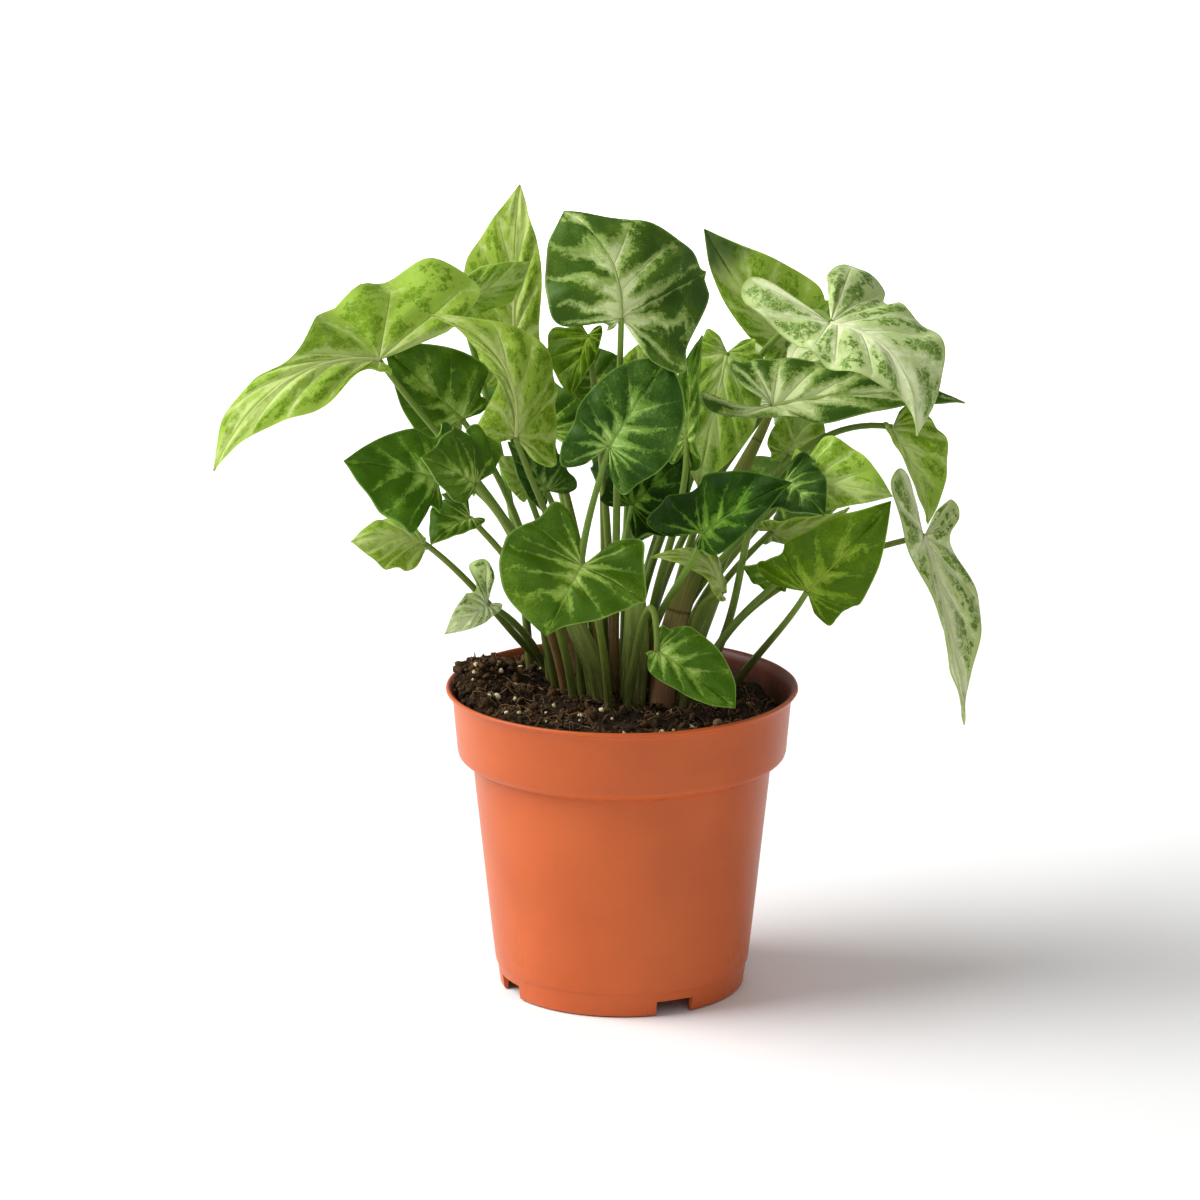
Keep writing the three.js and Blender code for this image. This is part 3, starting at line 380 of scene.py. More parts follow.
def soil_height(x, y):
    small = np.sin(x / LUMP_WIDTH + 1) * np.cos(y / LUMP_WIDTH)
    large = np.sin((x / 2 - y) / SWELL_WIDTH + 2)
    heap = HEAP_HEIGHT * np.exp(-(((x - HEAP_X) / HEAP_WIDTH) ** 2) - ((y - HEAP_Y) / HEAP_DEPTH) ** 2)
    return SOIL_LEVEL - SOIL_TILT * (x - POT_X) + SOIL_LUMPS * (small + SWELL * large) + heap


def stalk_path(leaf, steps=34):
    """From under the soil up to the blade. rise and bow are the bezier curve's handles."""
    x, y = leaf["root"]
    root = np.array([x, y, soil_height(x, y)])
    base = np.array(leaf["base"], float)
    reach = base - root
    lift = np.array([0, 0, 0.1 * np.linalg.norm(reach)])
    rise = np.array(leaf["rise"], float) if "rise" in leaf else reach * [0.15, 0.15, 0.35] + lift
    bow = np.array(leaf["bow"], float) if "bow" in leaf else -reach * [0.4, 0.4, 0.25]
    line = bezier(root, root + rise, base + bow, base, np.linspace(0, 1, steps))
    foot = root - unit(rise) * STALK_DEPTH
    return np.vstack([foot, line])


def blade_relief(blade, half, seed, u, v, t, w, vein, gap):
    """How far each point of the half blade is lifted: quilted between the veins, frilled at the margin, sunk
    over the midrib."""
    nearest = np.abs(vein - np.round(vein)) * 2
    swell = np.minimum(gap * QUILT_SHARE, QUILT_MOST) * np.sin(np.pi * t**0.8) ** 0.7
    swell = swell * np.minimum(gap / NARROW_GAP, 1)
    lumpy = 1 + 0.5 * np.sin(t * 9 + vein * 2.1 + seed * 3)
    quilt = swell * (0.1 - 0.5 * np.cos(np.pi * nearest)) * lumpy
    round_edge = np.clip((w - LOBE_EDGE_ROW) / (1 - LOBE_EDGE_ROW), 0, 1)
    ripple = np.sin(w * 23 + seed * 7 + half) + 0.6 * np.sin(w * 47 + seed * 11)
    frill = FRILL_SHARE * blade.length * t**3 * ripple * np.sqrt(np.sin(np.pi * round_edge))
    groove = np.exp(-((v * blade.length / GROOVE_WIDTH) ** 2)) * (1 - np.clip(u, 0, 1))
    return quilt + frill - GROOVE_DEPTH * groove * min(blade.length / GROOVE_FULL_LENGTH, 1)


def blade_mesh(pile, blade, seed):
    """The blade as a thin closed shell. place holds x and y in mm along and across the midrib and the seed,
    vein the number of the side vein, the share of the way to the margin and the gap between side veins in mm,
    and share x and y as shares of the length."""
    rows = (len(VEIN_ROWS) - 1) * ROWS_PER_VEIN + 1
    vein = np.arange(rows) / ROWS_PER_VEIN
    w = np.interp(vein, np.arange(len(VEIN_ROWS)), VEIN_ROWS)
    start = np.clip(spline(VEIN_STARTS, w)[:, 0], 0, 1)
    t = np.linspace(0, 1, BLADE_COLUMNS)
    for half, sign in ((0, 1), (1, -1)):
        edge = spline(outline(blade.leaf, half), w)
        u = start[:, None] + (edge[:, 0] - start)[:, None] * t
        v = np.maximum(edge[:, 1], 0)[:, None] * t
        flat = np.stack([u, v], -1) * blade.length
        gap = np.linalg.norm(np.gradient(flat, axis=0), axis=2) * ROWS_PER_VEIN
        lift = blade_relief(blade, half, seed, u, v, t, w[:, None], vein[:, None], gap)
        top = blade.surface(half, u, v, lift + BLADE_THICKNESS / 2)
        bottom = blade.surface(half, u, v, lift - BLADE_THICKNESS / 2)
        data = np.zeros(u.shape + (9,))
        data[..., 0] = u * blade.length
        data[..., 1] = sign * v * blade.length
        data[..., 2] = seed
        data[..., 3] = vein[:, None] + 20 * half
        data[..., 4] = t
        data[..., 5] = gap
        data[..., 6] = u
        data[..., 7] = v
        n = rows * BLADE_COLUMNS
        index = np.arange(n).reshape(rows, BLADE_COLUMNS)
        quads = np.stack([index[:-1, :-1], index[1:, :-1], index[1:, 1:], index[:-1, 1:]], -1).reshape(-1, 4)
        walls = [(a, b, b + n, a + n) for side in (index[:, -1], index[0]) for a, b in zip(side, side[1:])]
        verts = np.concatenate([top.reshape(-1, 3), bottom.reshape(-1, 3)])
        outer = np.concatenate([quads, np.array(walls)])[:, ::sign]
        pile.add(verts, outer, np.concatenate([data.reshape(-1, 9)] * 2), FRONT_SLOT)
        pile.add_faces(quads[:, ::-sign] + n, UNDER_SLOT)


def midrib(pile, blade, seed):
    """The rounded rib under the blade, thinning to the tip."""
    u = np.linspace(0.0, 0.94, 26)
    points = blade.surface(0, u, u * 0, -RIB_SINK)
    thick = RIB_RADIUS * (1 - u) ** 0.8 * min(blade.length / RIB_FULL_LENGTH, 1.1) + RIB_TIP_RADIUS
    tube(pile, points, thick, 8, seed, RIB_SLOT)


# ---- Materials ----
def linear(color):
    """An (r, g, b) of 0 to 255 as seen on a screen, as the linear colour that shaders take."""
    line = [c / 255 for c in color]
    return tuple(c / 12.92 if c <= 0.04045 else ((c + 0.055) / 1.055) ** 2.4 for c in line) + (1.0,)


class Value:
    """A shader node's output, which can be added to or multiplied by a number or another output."""

    def __init__(self, nodes, socket):
        self.nodes, self.socket = nodes, socket

    def __add__(self, other):
        return self.nodes.math("ADD", self, other)

    def __sub__(self, other):
        return self.nodes.math("SUBTRACT", self, other)

    def __mul__(self, other):
        return self.nodes.math("MULTIPLY", self, other)

    def step(self, low, high):
        """0 below low, 1 above high and smooth between."""
        inputs = {0: self, 1: low, 2: high, 3: 0.0, 4: 1.0}
        return self.nodes.make("MapRange", inputs, interpolation_type="SMOOTHSTEP")


class Nodes:
    """Short names for the shader nodes that the materials are made of."""

    def __init__(self, name):
        self.material = bpy.data.materials.new(name)
        self.material.use_nodes = True
        self.tree = self.material.node_tree
        self.tree.nodes.clear()

    def make(self, kind, inputs, output=0, **settings):
        """An output of a new node. inputs holds a Value, a number or an (r, g, b) for each of its inputs."""
        node = self.tree.nodes.new("ShaderNode" + kind)
        for key, value in settings.items():
            setattr(node, key, value)
        for key, value in inputs.items():
            if isinstance(value, Value):
                self.tree.links.new(value.socket, node.inputs[key])
            else:
                node.inputs[key].default_value = linear(value) if isinstance(value, tuple) else value
        return Value(self, node.outputs[output])

    def math(self, operation, *values):
        return self.make("Math", dict(enumerate(values)), operation=operation)

    def zigzag(self, value):
        """0 at each whole number and 1 midway between two."""
        return self.math("PINGPONG", value, 0.5) * 2.0

    def chance(self, seed):
        """A number from 0 to 1 that is random for each seed."""
        return self.math("FRACT", self.math("SINE", seed * 12.9) * 43.7)

    def attribute(self, name):
        return self.make("Attribute", {}, "Vector", attribute_name=name)

    def split(self, vector):
        node = self.make("SeparateXYZ", {0: vector}).socket.node
        return [Value(self, socket) for socket in node.outputs]

    def vector(self, x, y, z):
        return self.make("CombineXYZ", {0: x, 1: y, 2: z})

    def noise(self, vector, scale, detail=3, rough=0.5):
        return self.make("TexNoise", {"Vector": vector, "Scale": scale, "Detail": detail, "Roughness": rough})

    def mix(self, factor, a, b):
        return self.make("Mix", {0: factor, 6: a, 7: b}, 2, data_type="RGBA")

    def tint(self, color, hue, saturation, value):
        inputs = {"Hue": hue, "Saturation": saturation, "Value": value, "Color": color}
        return self.make("HueSaturation", inputs)

    def bump(self, height, strength, distance):
        return self.make("Bump", {"Height": height, "Strength": strength, "Distance": distance})

    def skin(self, color, roughness, **extra):
        inputs = {key.replace("_", " "): value for key, value in extra.items()}
        return self.make("BsdfPrincipled", {"Base Color": color, "Roughness": roughness, **inputs})

    def thin(self, body, color, share):
        """The body, with a share of the light coming through from behind in this colour."""
        return self.make("MixShader", {0: share, 1: body, 2: self.make("BsdfTranslucent", {"Color": color})})

    def finish(self, shader):
        out = self.tree.nodes.new("ShaderNodeOutputMaterial")
        self.tree.links.new(shader.socket, out.inputs["Surface"])
        return self.material


# Leaf colours and patterns. Green leaves have pale feathering along the veins: wide at the midrib, gone at
# reach of the way to the margin, and filling the blade round its base. Leaves with a blotch are pale, with
# dark spots of that strength between the veins: level says how few, and streaks how long. glow is how much
# light comes through from behind, and under is the lower side. edge is the margin's colour: partly the
# leaf's own pale rim and partly a painted highlight along the blade's thickness.
TONES = {
    "dark": dict(
        ground=(40, 70, 14), ground2=(66, 96, 28), pale=(108, 142, 54), core=(166, 192, 108),
        edge=(104, 134, 62), under=(140, 160, 104), under2=(108, 132, 78),
        wide=0.5, reach=0.78, base=0.6, rib=0.5, glow=0.12),
    "mid": dict(
        ground=(62, 96, 14), ground2=(88, 122, 28), pale=(126, 160, 58), core=(176, 200, 108),
        edge=(124, 156, 72), under=(148, 170, 100), under2=(118, 144, 76),
        wide=0.5, reach=0.85, base=0.6, rib=0.5, glow=0.15),
    "feather": dict(
        ground=(58, 88, 20), ground2=(88, 116, 36), pale=(144, 168, 86), core=(206, 218, 158),
        edge=(122, 148, 76), under=(150, 168, 110), under2=(120, 142, 84),
        wide=0.85, reach=1.15, base=0.6, rib=0.55, glow=0.16),
    "deep": dict(
        ground=(24, 46, 4), ground2=(42, 70, 12), pale=(78, 110, 32), core=(112, 144, 56),
        edge=(66, 94, 32), under=(118, 140, 84), under2=(90, 114, 62),
        wide=0.36, reach=0.75, base=0.5, rib=0.45, glow=0.08, shine=0.05),
    "vivid": dict(
        ground=(72, 104, 8), ground2=(98, 132, 16), pale=(124, 156, 40), core=(154, 182, 72),
        edge=(122, 152, 46), under=(146, 170, 76), under2=(116, 144, 50),
        wide=0.45, reach=0.9, base=0.4, rib=0.5, glow=0.26),
    "pale": dict(
        ground=(90, 120, 40), ground2=(114, 144, 62), pale=(186, 202, 136), core=(218, 226, 180),
        edge=(166, 188, 112), under=(182, 198, 140), under2=(150, 174, 106),
        level=0.5, streaks=0.6, blotch=1.0, glow=0.2),
    "lime": dict(
        ground=(88, 126, 10), ground2=(116, 150, 26), pale=(162, 190, 76), core=(198, 214, 132),
        edge=(168, 194, 92), under=(160, 186, 76), under2=(130, 162, 48),
        level=0.46, streaks=1.9, blotch=0.8, glow=0.3),
}
TONES["back"] = TONES["mid"]
# Painted shade: a lime leaf whose tip is darkened to dark grey-green to stand for the shade on its
# rolled-over tip.
TONES["lime_dark_tip"] = dict(TONES["lime"], tip=(62, 86, 42))
LEAF_SHINE = 0.15
VEIN_COLOR_BELOW = (196, 212, 160)


class LeafNodes(Nodes):
    """Nodes with a blade's coordinates, as blade_mesh gives them. row is a whole number on each side vein,
    and margin the share of the way to the margin."""

    def __init__(self, name):
        super().__init__(name)
        self.x, self.y, self.seed = self.split(self.attribute("place"))
        self.row, self.margin, self.gap = self.split(self.attribute("vein"))
        self.spot = self.vector(self.x * 0.1, self.y * 0.1, self.seed * 3.7)
        self.vein_mm = self.math("PINGPONG", self.row, 0.5) * self.gap


class FrontNodes(LeafNodes):
    """The upper side's noises, and how far a point is from the veins, straight and with the noises' bends."""

    def __init__(self, name):
        super().__init__(name)
        self.u, self.v, _ = self.split(self.attribute("share"))
        self.coarse = self.noise(self.spot, 0.8, 2) - 0.5
        self.fine = self.noise(self.spot, 4.6, 5, 0.7) - 0.5
        self.grain = self.noise(self.spot, 15.0, 3, 0.7) - 0.5
        self.bend = self.noise(self.spot, 1.5, 2) - 0.5
        bent = self.row + self.bend * 0.7 + self.fine * 0.25
        along_veins = self.vector(bent * 4.0, self.margin * 2.4, self.seed * 5.1)
        self.streak = self.noise(along_veins, 1.0, 4, 0.65) - 0.5
        self.off_bent_vein = self.zigzag(bent)
        self.off_vein = self.zigzag(self.row)
        self.rib_mm = self.math("ABSOLUTE", self.y)


def feathering(n, look):
    """How pale a green leaf is, from 0 to 1, and where its feathers are palest."""
    base = n.math("SQRT", n.u * n.u + n.v * n.v).step(0.42, 0.0) * look["base"]
    rib = n.math("ABSOLUTE", n.v).step(0.15, 0.0) * (n.u * -0.8 + 1.0) * look["rib"]
    band = n.margin * (-look["wide"] / look["reach"]) + look["wide"]
    mottle = n.streak * 1.1 + n.fine * 1.4 + n.coarse * 0.5 + n.grain * 0.8
    field = base + rib + band - n.off_bent_vein + mottle
    return field.step(-0.12, 0.3), field.step(0.3, 0.9)


def spotting(n, look):
    """How pale a spotted leaf is, from 0 to 1, and where it is palest, along the veins."""
    patch = n.noise(n.vector(n.row * 2.7, n.margin * 5.4, n.seed * 2.3), 1.0, 3, 0.6) - 0.5
    between = n.off_bent_vein.step(0.1, 0.6) * (n.margin.step(0.08, 0.3) - n.margin.step(0.86, 1.0))
    mottle = n.streak * look["streaks"] + n.fine * 2.6 + n.coarse * 1.6 + n.grain * 1.2
    field = between * 0.65 + patch * 2.6 + mottle - look["level"]
    ragged = n.vector(n.x * 0.1 + n.fine * 0.12, n.y * 0.1 + n.grain * 0.1, n.seed)
    cracks = n.make("TexVoronoi", {"Vector": ragged, "Scale": 4.2}, feature="DISTANCE_TO_EDGE")
    spots = field.step(-0.15, 0.3) * (cracks.step(0.01, 0.07) * 0.6 + 0.4)
    near_rib, near_vein = n.rib_mm.step(7.0, 0.5), n.off_bent_vein.step(0.45, 0.0)
    core = (near_rib * 0.6 + near_vein * 0.5 + n.fine * 1.3 + n.coarse * 1.2).step(0.2, 0.75)
    return spots * -look["blotch"] + 1.0, core


def leaf_front(name, look):
    """The upper side, with the edge, the midrib and the veins drawn over the pattern."""
    n = FrontNodes(name)
    spotted = "blotch" in look
    pale, core = (spotting if spotted else feathering)(n, look)
    uneven = (n.grain + n.coarse * 1.4 + n.fine * 0.5).step(-0.15, 0.35)
    dust = (n.grain + n.fine * 0.8 + n.coarse * 0.8).step(0.2, 0.36)
    ground = n.mix(dust * 0.5, n.mix(uneven, look["ground"], look["ground2"]), look["pale"])
    color = n.mix(pale * 0.94, ground, look["pale"])
    color = n.mix(core * 0.9, color, look["core"])
    vein_line = n.vein_mm.step(0.5, 0.08) * n.margin.step(1.0, 0.3)
    rib_line = n.rib_mm.step(n.x.step(60.0, 0.0) * 0.6 + 0.3, 0.08)
    color = n.mix(vein_line * (0.45 if spotted else 0.28), color, look["core"])
    color = n.mix(rib_line * (0.9 if spotted else 0.5), color, look["core" if spotted else "pale"])
    # Painted shade on the rolled-over tip, darkening the blade towards its tip.
    if "tip" in look:
        near_tip = (n.u + n.coarse * 0.3 + n.fine * 0.1).step(0.6, 0.82)
        color = n.mix(near_tip * 0.9, color, look["tip"])
    # The margin is partly the leaf's own pale rim and partly a painted highlight along the blade's thickness.
    color = n.mix(n.margin.step(0.962, 0.99) * 0.85, color, look["edge"])
    own = n.chance(n.seed)
    color = n.tint(color, own * 0.012 + 0.496, 1.02, own * 0.2 + 1.18)
    quilt = n.math("SQRT", n.math("MAXIMUM", n.off_vein, 0.0)) * n.margin.step(1.0, 0.7)
    height = quilt * 1.3 + vein_line * -0.4 + rib_line * (-0.2 if spotted else -0.7)
    height = height + n.grain * 0.25 + n.fine * 0.7 + n.bend
    body = n.skin(color, n.grain * 0.16 + 0.4, Normal=n.bump(height, 0.75, 0.0006),
                  Specular_IOR_Level=look.get("shine", LEAF_SHINE))
    return n.finish(n.thin(body, n.tint(color, 0.485, 1.2, 1.1), look["glow"]))


def leaf_under(name, look):
    """The lower side: matt, greyer, with the veins standing out pale."""
    n = LeafNodes(name)
    coarse = n.noise(n.spot, 2.4, 4, 0.6)
    grain = n.noise(n.spot, 18.0, 3, 0.7)
    vein_line = n.vein_mm.step(0.6, 0.15)
    color = n.mix(coarse.step(0.35, 0.68), look["under2"], look["under"])
    color = n.mix(vein_line * 0.5, color, VEIN_COLOR_BELOW)
    relief = n.bump(vein_line * 0.8 + grain * 0.2, 0.6, 0.0004)
    body = n.skin(color, 0.6, Normal=relief, Specular_IOR_Level=LEAF_SHINE)
    return n.finish(n.thin(body, n.tint(color, 0.48, 1.3, 1.0), 0.22))


def stalk_skin(name, top, bottom, streaks, husk=None, ring_gap=0.0):
    """Stalks and canes: one colour at the blade, another at the soil, with fine lengthwise streaks. For green
    stalks and sheaths the darker colour at the soil is partly their own olive-brown and partly painted shade
    among the crowded stalks. husk is the colour of dry skin round the foot, and ring_gap half the way between
    an old cane's rings."""
    n = Nodes(name)
    run, turn, seed = n.split(n.attribute("place"))
    _, height, _ = n.split(n.attribute("vein"))
    streak = n.noise(n.vector(run * 0.05, turn * 0.5, seed), 1.6, 4, 0.65)
    blotch = n.noise(n.vector(run * 0.12, turn * 0.05, seed), 1.3, 3, 0.6)
    own = n.chance(seed)
    color = n.mix((height + blotch * 14.0 + own * -16.0).step(98.0, 150.0), bottom, top)
    if husk:
        low = (height + blotch * 30.0 + own * 10.0).step(165.0, 135.0)
        color = n.mix(low * blotch.step(0.3, 0.5) * 0.8, color, husk)
    color = n.mix(streak.step(0.45, 0.75) * 0.6, color, streaks)
    color = n.tint(color, own * 0.03 + 0.48, 1.0, own * 0.3 + 0.85)
    rough, relief = 0.48, streak * 0.4
    if ring_gap:
        ring = n.math("PINGPONG", run + blotch * 3.0, ring_gap).step(0.9, 0.0)
        color = n.mix(ring * 0.7, color, (70, 50, 36))
        rough, relief = 0.7, relief + ring * -0.8 + blotch * 0.6
    return n.finish(n.skin(color, rough, Normal=n.bump(relief, 0.5, 0.0005), Specular_IOR_Level=0.2))


def rib_skin(name, look):
    color = look["core" if "blotch" in look else "pale"]
    return stalk_skin(name, color, color, look["core"])


def soil_skin(name, dark, light, grain_scale=0.35):
    """Crumbly potting soil: near black where it is damp, brown where it is dry."""
    n = Nodes(name)
    place = n.attribute("place")
    own, _, _ = n.split(n.attribute("vein"))
    fine = n.noise(place, grain_scale, 6, 0.75)
    tiny = n.noise(place, 2.2, 3, 0.7)
    dry = (n.noise(place, 0.09, 3, 0.6) * 0.6 + fine * 0.6 + own * 0.35).step(0.5, 0.95)
    color = n.mix(tiny.step(0.66, 0.8), n.mix(dry, dark, light), (104, 82, 58))
    relief = n.bump(fine + tiny * 0.4, 0.9, 0.0012)
    return n.finish(n.skin(color, 0.92, Normal=relief, Specular_IOR_Level=0.2))


def stone_skin(name, light, dark):
    n = Nodes(name)
    place = n.attribute("place")
    own, _, _ = n.split(n.attribute("vein"))
    color = n.mix((n.noise(place, 0.7, 4, 0.6) + own * 0.5).step(0.45, 0.95), light, dark)
    return n.finish(n.skin(color, 0.85, Normal=n.bump(n.noise(place, 2.5, 4, 0.6), 0.5, 0.0006)))


def pot_skin(name):
    """Injection-moulded orange plastic: even, softly glossy, with faint flow marks, rubs and soil dust, and
    painted shade darkening the inside of the wall.
    """
    n = Nodes(name)
    place = n.attribute("place")
    _, _, z = n.split(place)
    turn, inside, _ = n.split(n.attribute("vein"))
    cloud = n.noise(place, 0.03, 3, 0.5)
    orange_peel = n.noise(place, 1.3, 2, 0.5)
    scratch = n.noise(n.vector(turn * 0.25, 0.0, z * 2.4), 0.5, 5, 0.7)
    dust = (n.noise(place, 0.16, 5, 0.7) + z.step(40.0, 0.0) * 0.12).step(0.6, 0.82)
    color = n.mix(cloud.step(0.3, 0.7), (192, 88, 34), (202, 96, 40))
    color = n.mix(scratch.step(0.62, 0.75) * 0.25, color, (228, 132, 78))
    color = n.mix(dust * 0.16, color, (150, 96, 66))
    # Painted shade: the inside of the wall is darkened towards dark brown to stand for the shade inside the
    # pot.
    color = n.mix(inside * 0.8, color, (84, 34, 16))
    soiled = inside * (z + n.noise(place, 0.3, 4, 0.7) * 8.0).step(107.0, 101.0)
    color = n.mix(soiled * 0.7, color, (58, 36, 24))
    rough = cloud * 0.08 + dust * 0.25 + soiled * 0.3 + 0.34
    relief = n.bump(orange_peel * 0.25 + scratch * 0.2, 0.22, 0.0003)
    return n.finish(n.skin(color, rough, Normal=relief, Specular_IOR_Level=0.34,
                           Subsurface_Weight=0.06, Subsurface_Scale=0.003))


def floor_skin(name):
    n = Nodes(name)
    cloud = n.noise(n.make("TexCoord", {}, "Object"), 3.0, 2)
    return n.finish(n.skin(n.mix(cloud, (250, 250, 250), (253, 253, 253)), 0.75, Specular_IOR_Level=0.1))


# ---- The leaves ----
FRONTS = {tone: leaf_front("leaf_front_" + tone, look) for tone, look in TONES.items()}
UNDERS = {tone: leaf_under("leaf_under_" + tone, look) for tone, look in TONES.items()}
RIBS = {tone: rib_skin("leaf_rib_" + tone, look) for tone, look in TONES.items()}
# The green stalks' and sheaths' darker colour at the soil is partly painted shade where the stalks crowd
# together.
STALK = stalk_skin("stalk_green", (114, 142, 54), (76, 84, 34), (142, 162, 80))
HUSK_STALK = stalk_skin("stalk_husk", (114, 142, 54), (90, 74, 40), (142, 162, 80), husk=(158, 116, 78))
CANE = stalk_skin("cane_bark", (106, 122, 44), (150, 112, 78), (184, 154, 112), ring_gap=11.0)
SHEATH = stalk_skin("sheath_green", (146, 172, 78), (92, 96, 44), (182, 200, 120))

# A stalk thicker than this has an old cane's bark, and every stalk thins to the tip radius at its blade.
WOODY_RADIUS = 3
STALK_TIP_RADIUS = 1.0
CANE_STEPS = 48


def ride(piece, node, slot):
    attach(piece, "root")
    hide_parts(node)


def grow_leaf(leaf, index):
    seed = index * 0.618 % 1 * 10
    pile = Pile()
    blade = Blade(leaf, index)
    blade_mesh(pile, blade, seed)
    midrib(pile, blade, seed)
    line = stalk_path(leaf)
    foot_radius = leaf["thick"]
    woody = foot_radius > WOODY_RADIUS
    share = np.linspace(0, 1, len(line)) ** (1.6 if woody else 1)
    radii = foot_radius + (STALK_TIP_RADIUS - foot_radius) * share
    tube(pile, line, radii, 12, seed, CANE_SLOT if woody else STALK_SLOT)
    look = leaf.get("look", leaf["tone"])
    materials = [FRONTS[look], UNDERS[look], HUSK_STALK if "husk" in leaf else STALK, CANE, RIBS[look]]
    piece = pile.build("grown_" + leaf["name"], materials, sharp=55)
    ride(piece, leaf["name"], "leaf_" + leaf["tone"])


def bark_ribs(share, turn):
    return 1 + 0.05 * np.sin(share * 60) * np.cos(turn * 3 + share * 9) + 0.03 * np.sin(turn * 5)


def sheath_ribs(share, turn):
    """Fine ribs, and the groove where the sheath's edges meet."""
    return 1 + 0.06 * np.cos(turn * 9 + share * 3) - 0.22 * np.exp(-((np.cos(turn / 2) / 0.16) ** 2))


def grow_cane(cane, index):
    (x, y), *rest = cane["path"]
    share = np.linspace(0, 1, CANE_STEPS)
    line = spline([(x, y, soil_height(x, y)), *rest], share)
    foot = line[0] - unit(line[1] - line[0]) * CANE_DEPTH
    radii = np.append(cane["radii"][0], spline(cane["radii"], share)[:, 0])
    bark = cane["tone"] == "bark"
    pile = Pile()
    tube(pile, np.vstack([foot, line]), radii, 36, 3 + index, 0, shape=bark_ribs if bark else sheath_ribs)
    piece = pile.build("grown_" + cane["name"], [CANE if bark else SHEATH], sharp=60)
    ride(piece, cane["name"], "cane" if bark else "sheath")


for number, entry in enumerate(LEAVES):
    grow_leaf(entry, number)
for number, entry in enumerate(CANES):
    grow_cane(entry, number)

# ---- The soil, in mm ----
SOIL = soil_skin("soil_ground", (22, 14, 7), (62, 46, 28))
CRUMB = soil_skin("soil_crumb", (22, 14, 7), (96, 70, 44), 0.6)
PERLITE = stone_skin("perlite_cream", (240, 228, 186), (212, 196, 146))
CHIP = stone_skin("chip_tan", (172, 134, 92), (110, 80, 52))
ROOTLET = stalk_skin("rootlet_tan", (150, 122, 84), (104, 78, 50), (186, 164, 126))
GROUND_SLOT, CRUMB_SLOT, PERLITE_SLOT, CHIP_SLOT, ROOTLET_SLOT = range(5)

SOIL_RINGS, SOIL_SPOKES = 70, 168
# The radius of the top, and where and how far the heap drops towards the wall.
SOIL_EDGE, EDGE_START, EDGE_DROP = 55.5, 48.0, 2.5
# Radius and height down the side of the plug.
SOIL_SIDES = [(54.2, 84), (49.0, 79), (41.2, 10.2)]
# Crumbs keep inside the wall, or above this height inside the lip.
INSIDE_WALL, INSIDE_LIP, LIP_HEIGHT = 56.4, 57.9, 103.0
# This share of the crumbs falls on the heap: beyond this radius and between these turns.
HEAP_SHARE, HEAP_INNER, HEAP_TURNS = 0.3, 36, (2.4, 4.1)
SMALLEST_CRUMB = 0.2
ROOTLET_STEPS, ROOTLET_REACH = 8, 54.5


def around(radius, turn):
    """x and y at a radius and a turn about the pot's axis."""
    return POT_X + radius * math.cos(turn), radius * math.sin(turn)


def lump(directions, roughness):
    """Unit directions pushed in and out, for a crumb or a stone."""
    waves = sum(np.sin(directions @ np.array([rng.uniform(-4, 4) for _ in range(3)]) + rng.uniform(0, 6))
                for _ in range(3))
    return directions * (1 + roughness * waves / 3)[:, None]


def ball(subdivisions):
    """The points and faces of a ball of radius 1."""
    mesh = bmesh.new()
    bmesh.ops.create_icosphere(mesh, subdivisions=subdivisions, radius=1)
    verts = np.array([v.co[:] for v in mesh.verts])
    faces = [tuple(v.index for v in f.verts) for f in mesh.faces]
    mesh.free()
    return verts, faces


def turned(points, angles):
    """The points turned about y by the last angle, then about z and then about x."""
    (xs, xc), (zs, zc), (ys, yc) = ((math.sin(angle), math.cos(angle)) for angle in angles)
    about_x = np.array([[1, 0, 0], [0, xc, -xs], [0, xs, xc]])
    about_z = np.array([[zc, -zs, 0], [zs, zc, 0], [0, 0, 1]])
    about_y = np.array([[yc, 0, ys], [0, 1, 0], [-ys, 0, yc]])
    return points @ (about_x @ about_z @ about_y).T


def fine_height(x, y):
    """The height of the soil's top with its small lumps."""
    base = soil_height(x, y)
    rough = noise.fractal((x * 0.11, y * 0.11, 3.0), 0.6, 2.1, 5) * 1.3
    near_wall = max(0.0, math.hypot(x - POT_X, y) - EDGE_START) / (SOIL_EDGE - EDGE_START)
    spill = EDGE_DROP * near_wall**2 * min(max((base - SOIL_LEVEL) / HEAP_HEIGHT, 0), 1)
    return base + rough - spill


def soil_plug(pile):
    """The body of the soil: its lumpy top, and sides that follow the inside of the pot down to its floor."""
    n = SOIL_SPOKES
    turns = [k * 2 * math.pi / n for k in range(n)]
    verts = []
    for i in range(1, SOIL_RINGS + 1):
        radius = SOIL_EDGE * (i / SOIL_RINGS) ** 0.8
        verts += [(x, y, fine_height(x, y)) for x, y in (around(radius, turn) for turn in turns)]
    for radius, z in SOIL_SIDES:
        verts += [(*around(radius, turn), z) for turn in turns]
    verts += [(POT_X, 0, fine_height(POT_X, 0)), (POT_X, 0, SOIL_SIDES[-1][1])]
    data = [(x, y, z, 0.3, 0, 0, 0, 0, 0) for x, y, z in verts]
    rings = SOIL_RINGS + len(SOIL_SIDES)
    faces = [(i * n + k, (i + 1) * n + k, (i + 1) * n + (k + 1) % n, i * n + (k + 1) % n)
             for i in range(rings - 1) for k in range(n)]
    top, last = rings * n, (rings - 1) * n
    faces += [(top, k, (k + 1) % n) for k in range(n)]
    faces += [(top + 1, last + (k + 1) % n, last + k) for k in range(n)]
    pile.add(verts, faces, data, GROUND_SLOT)


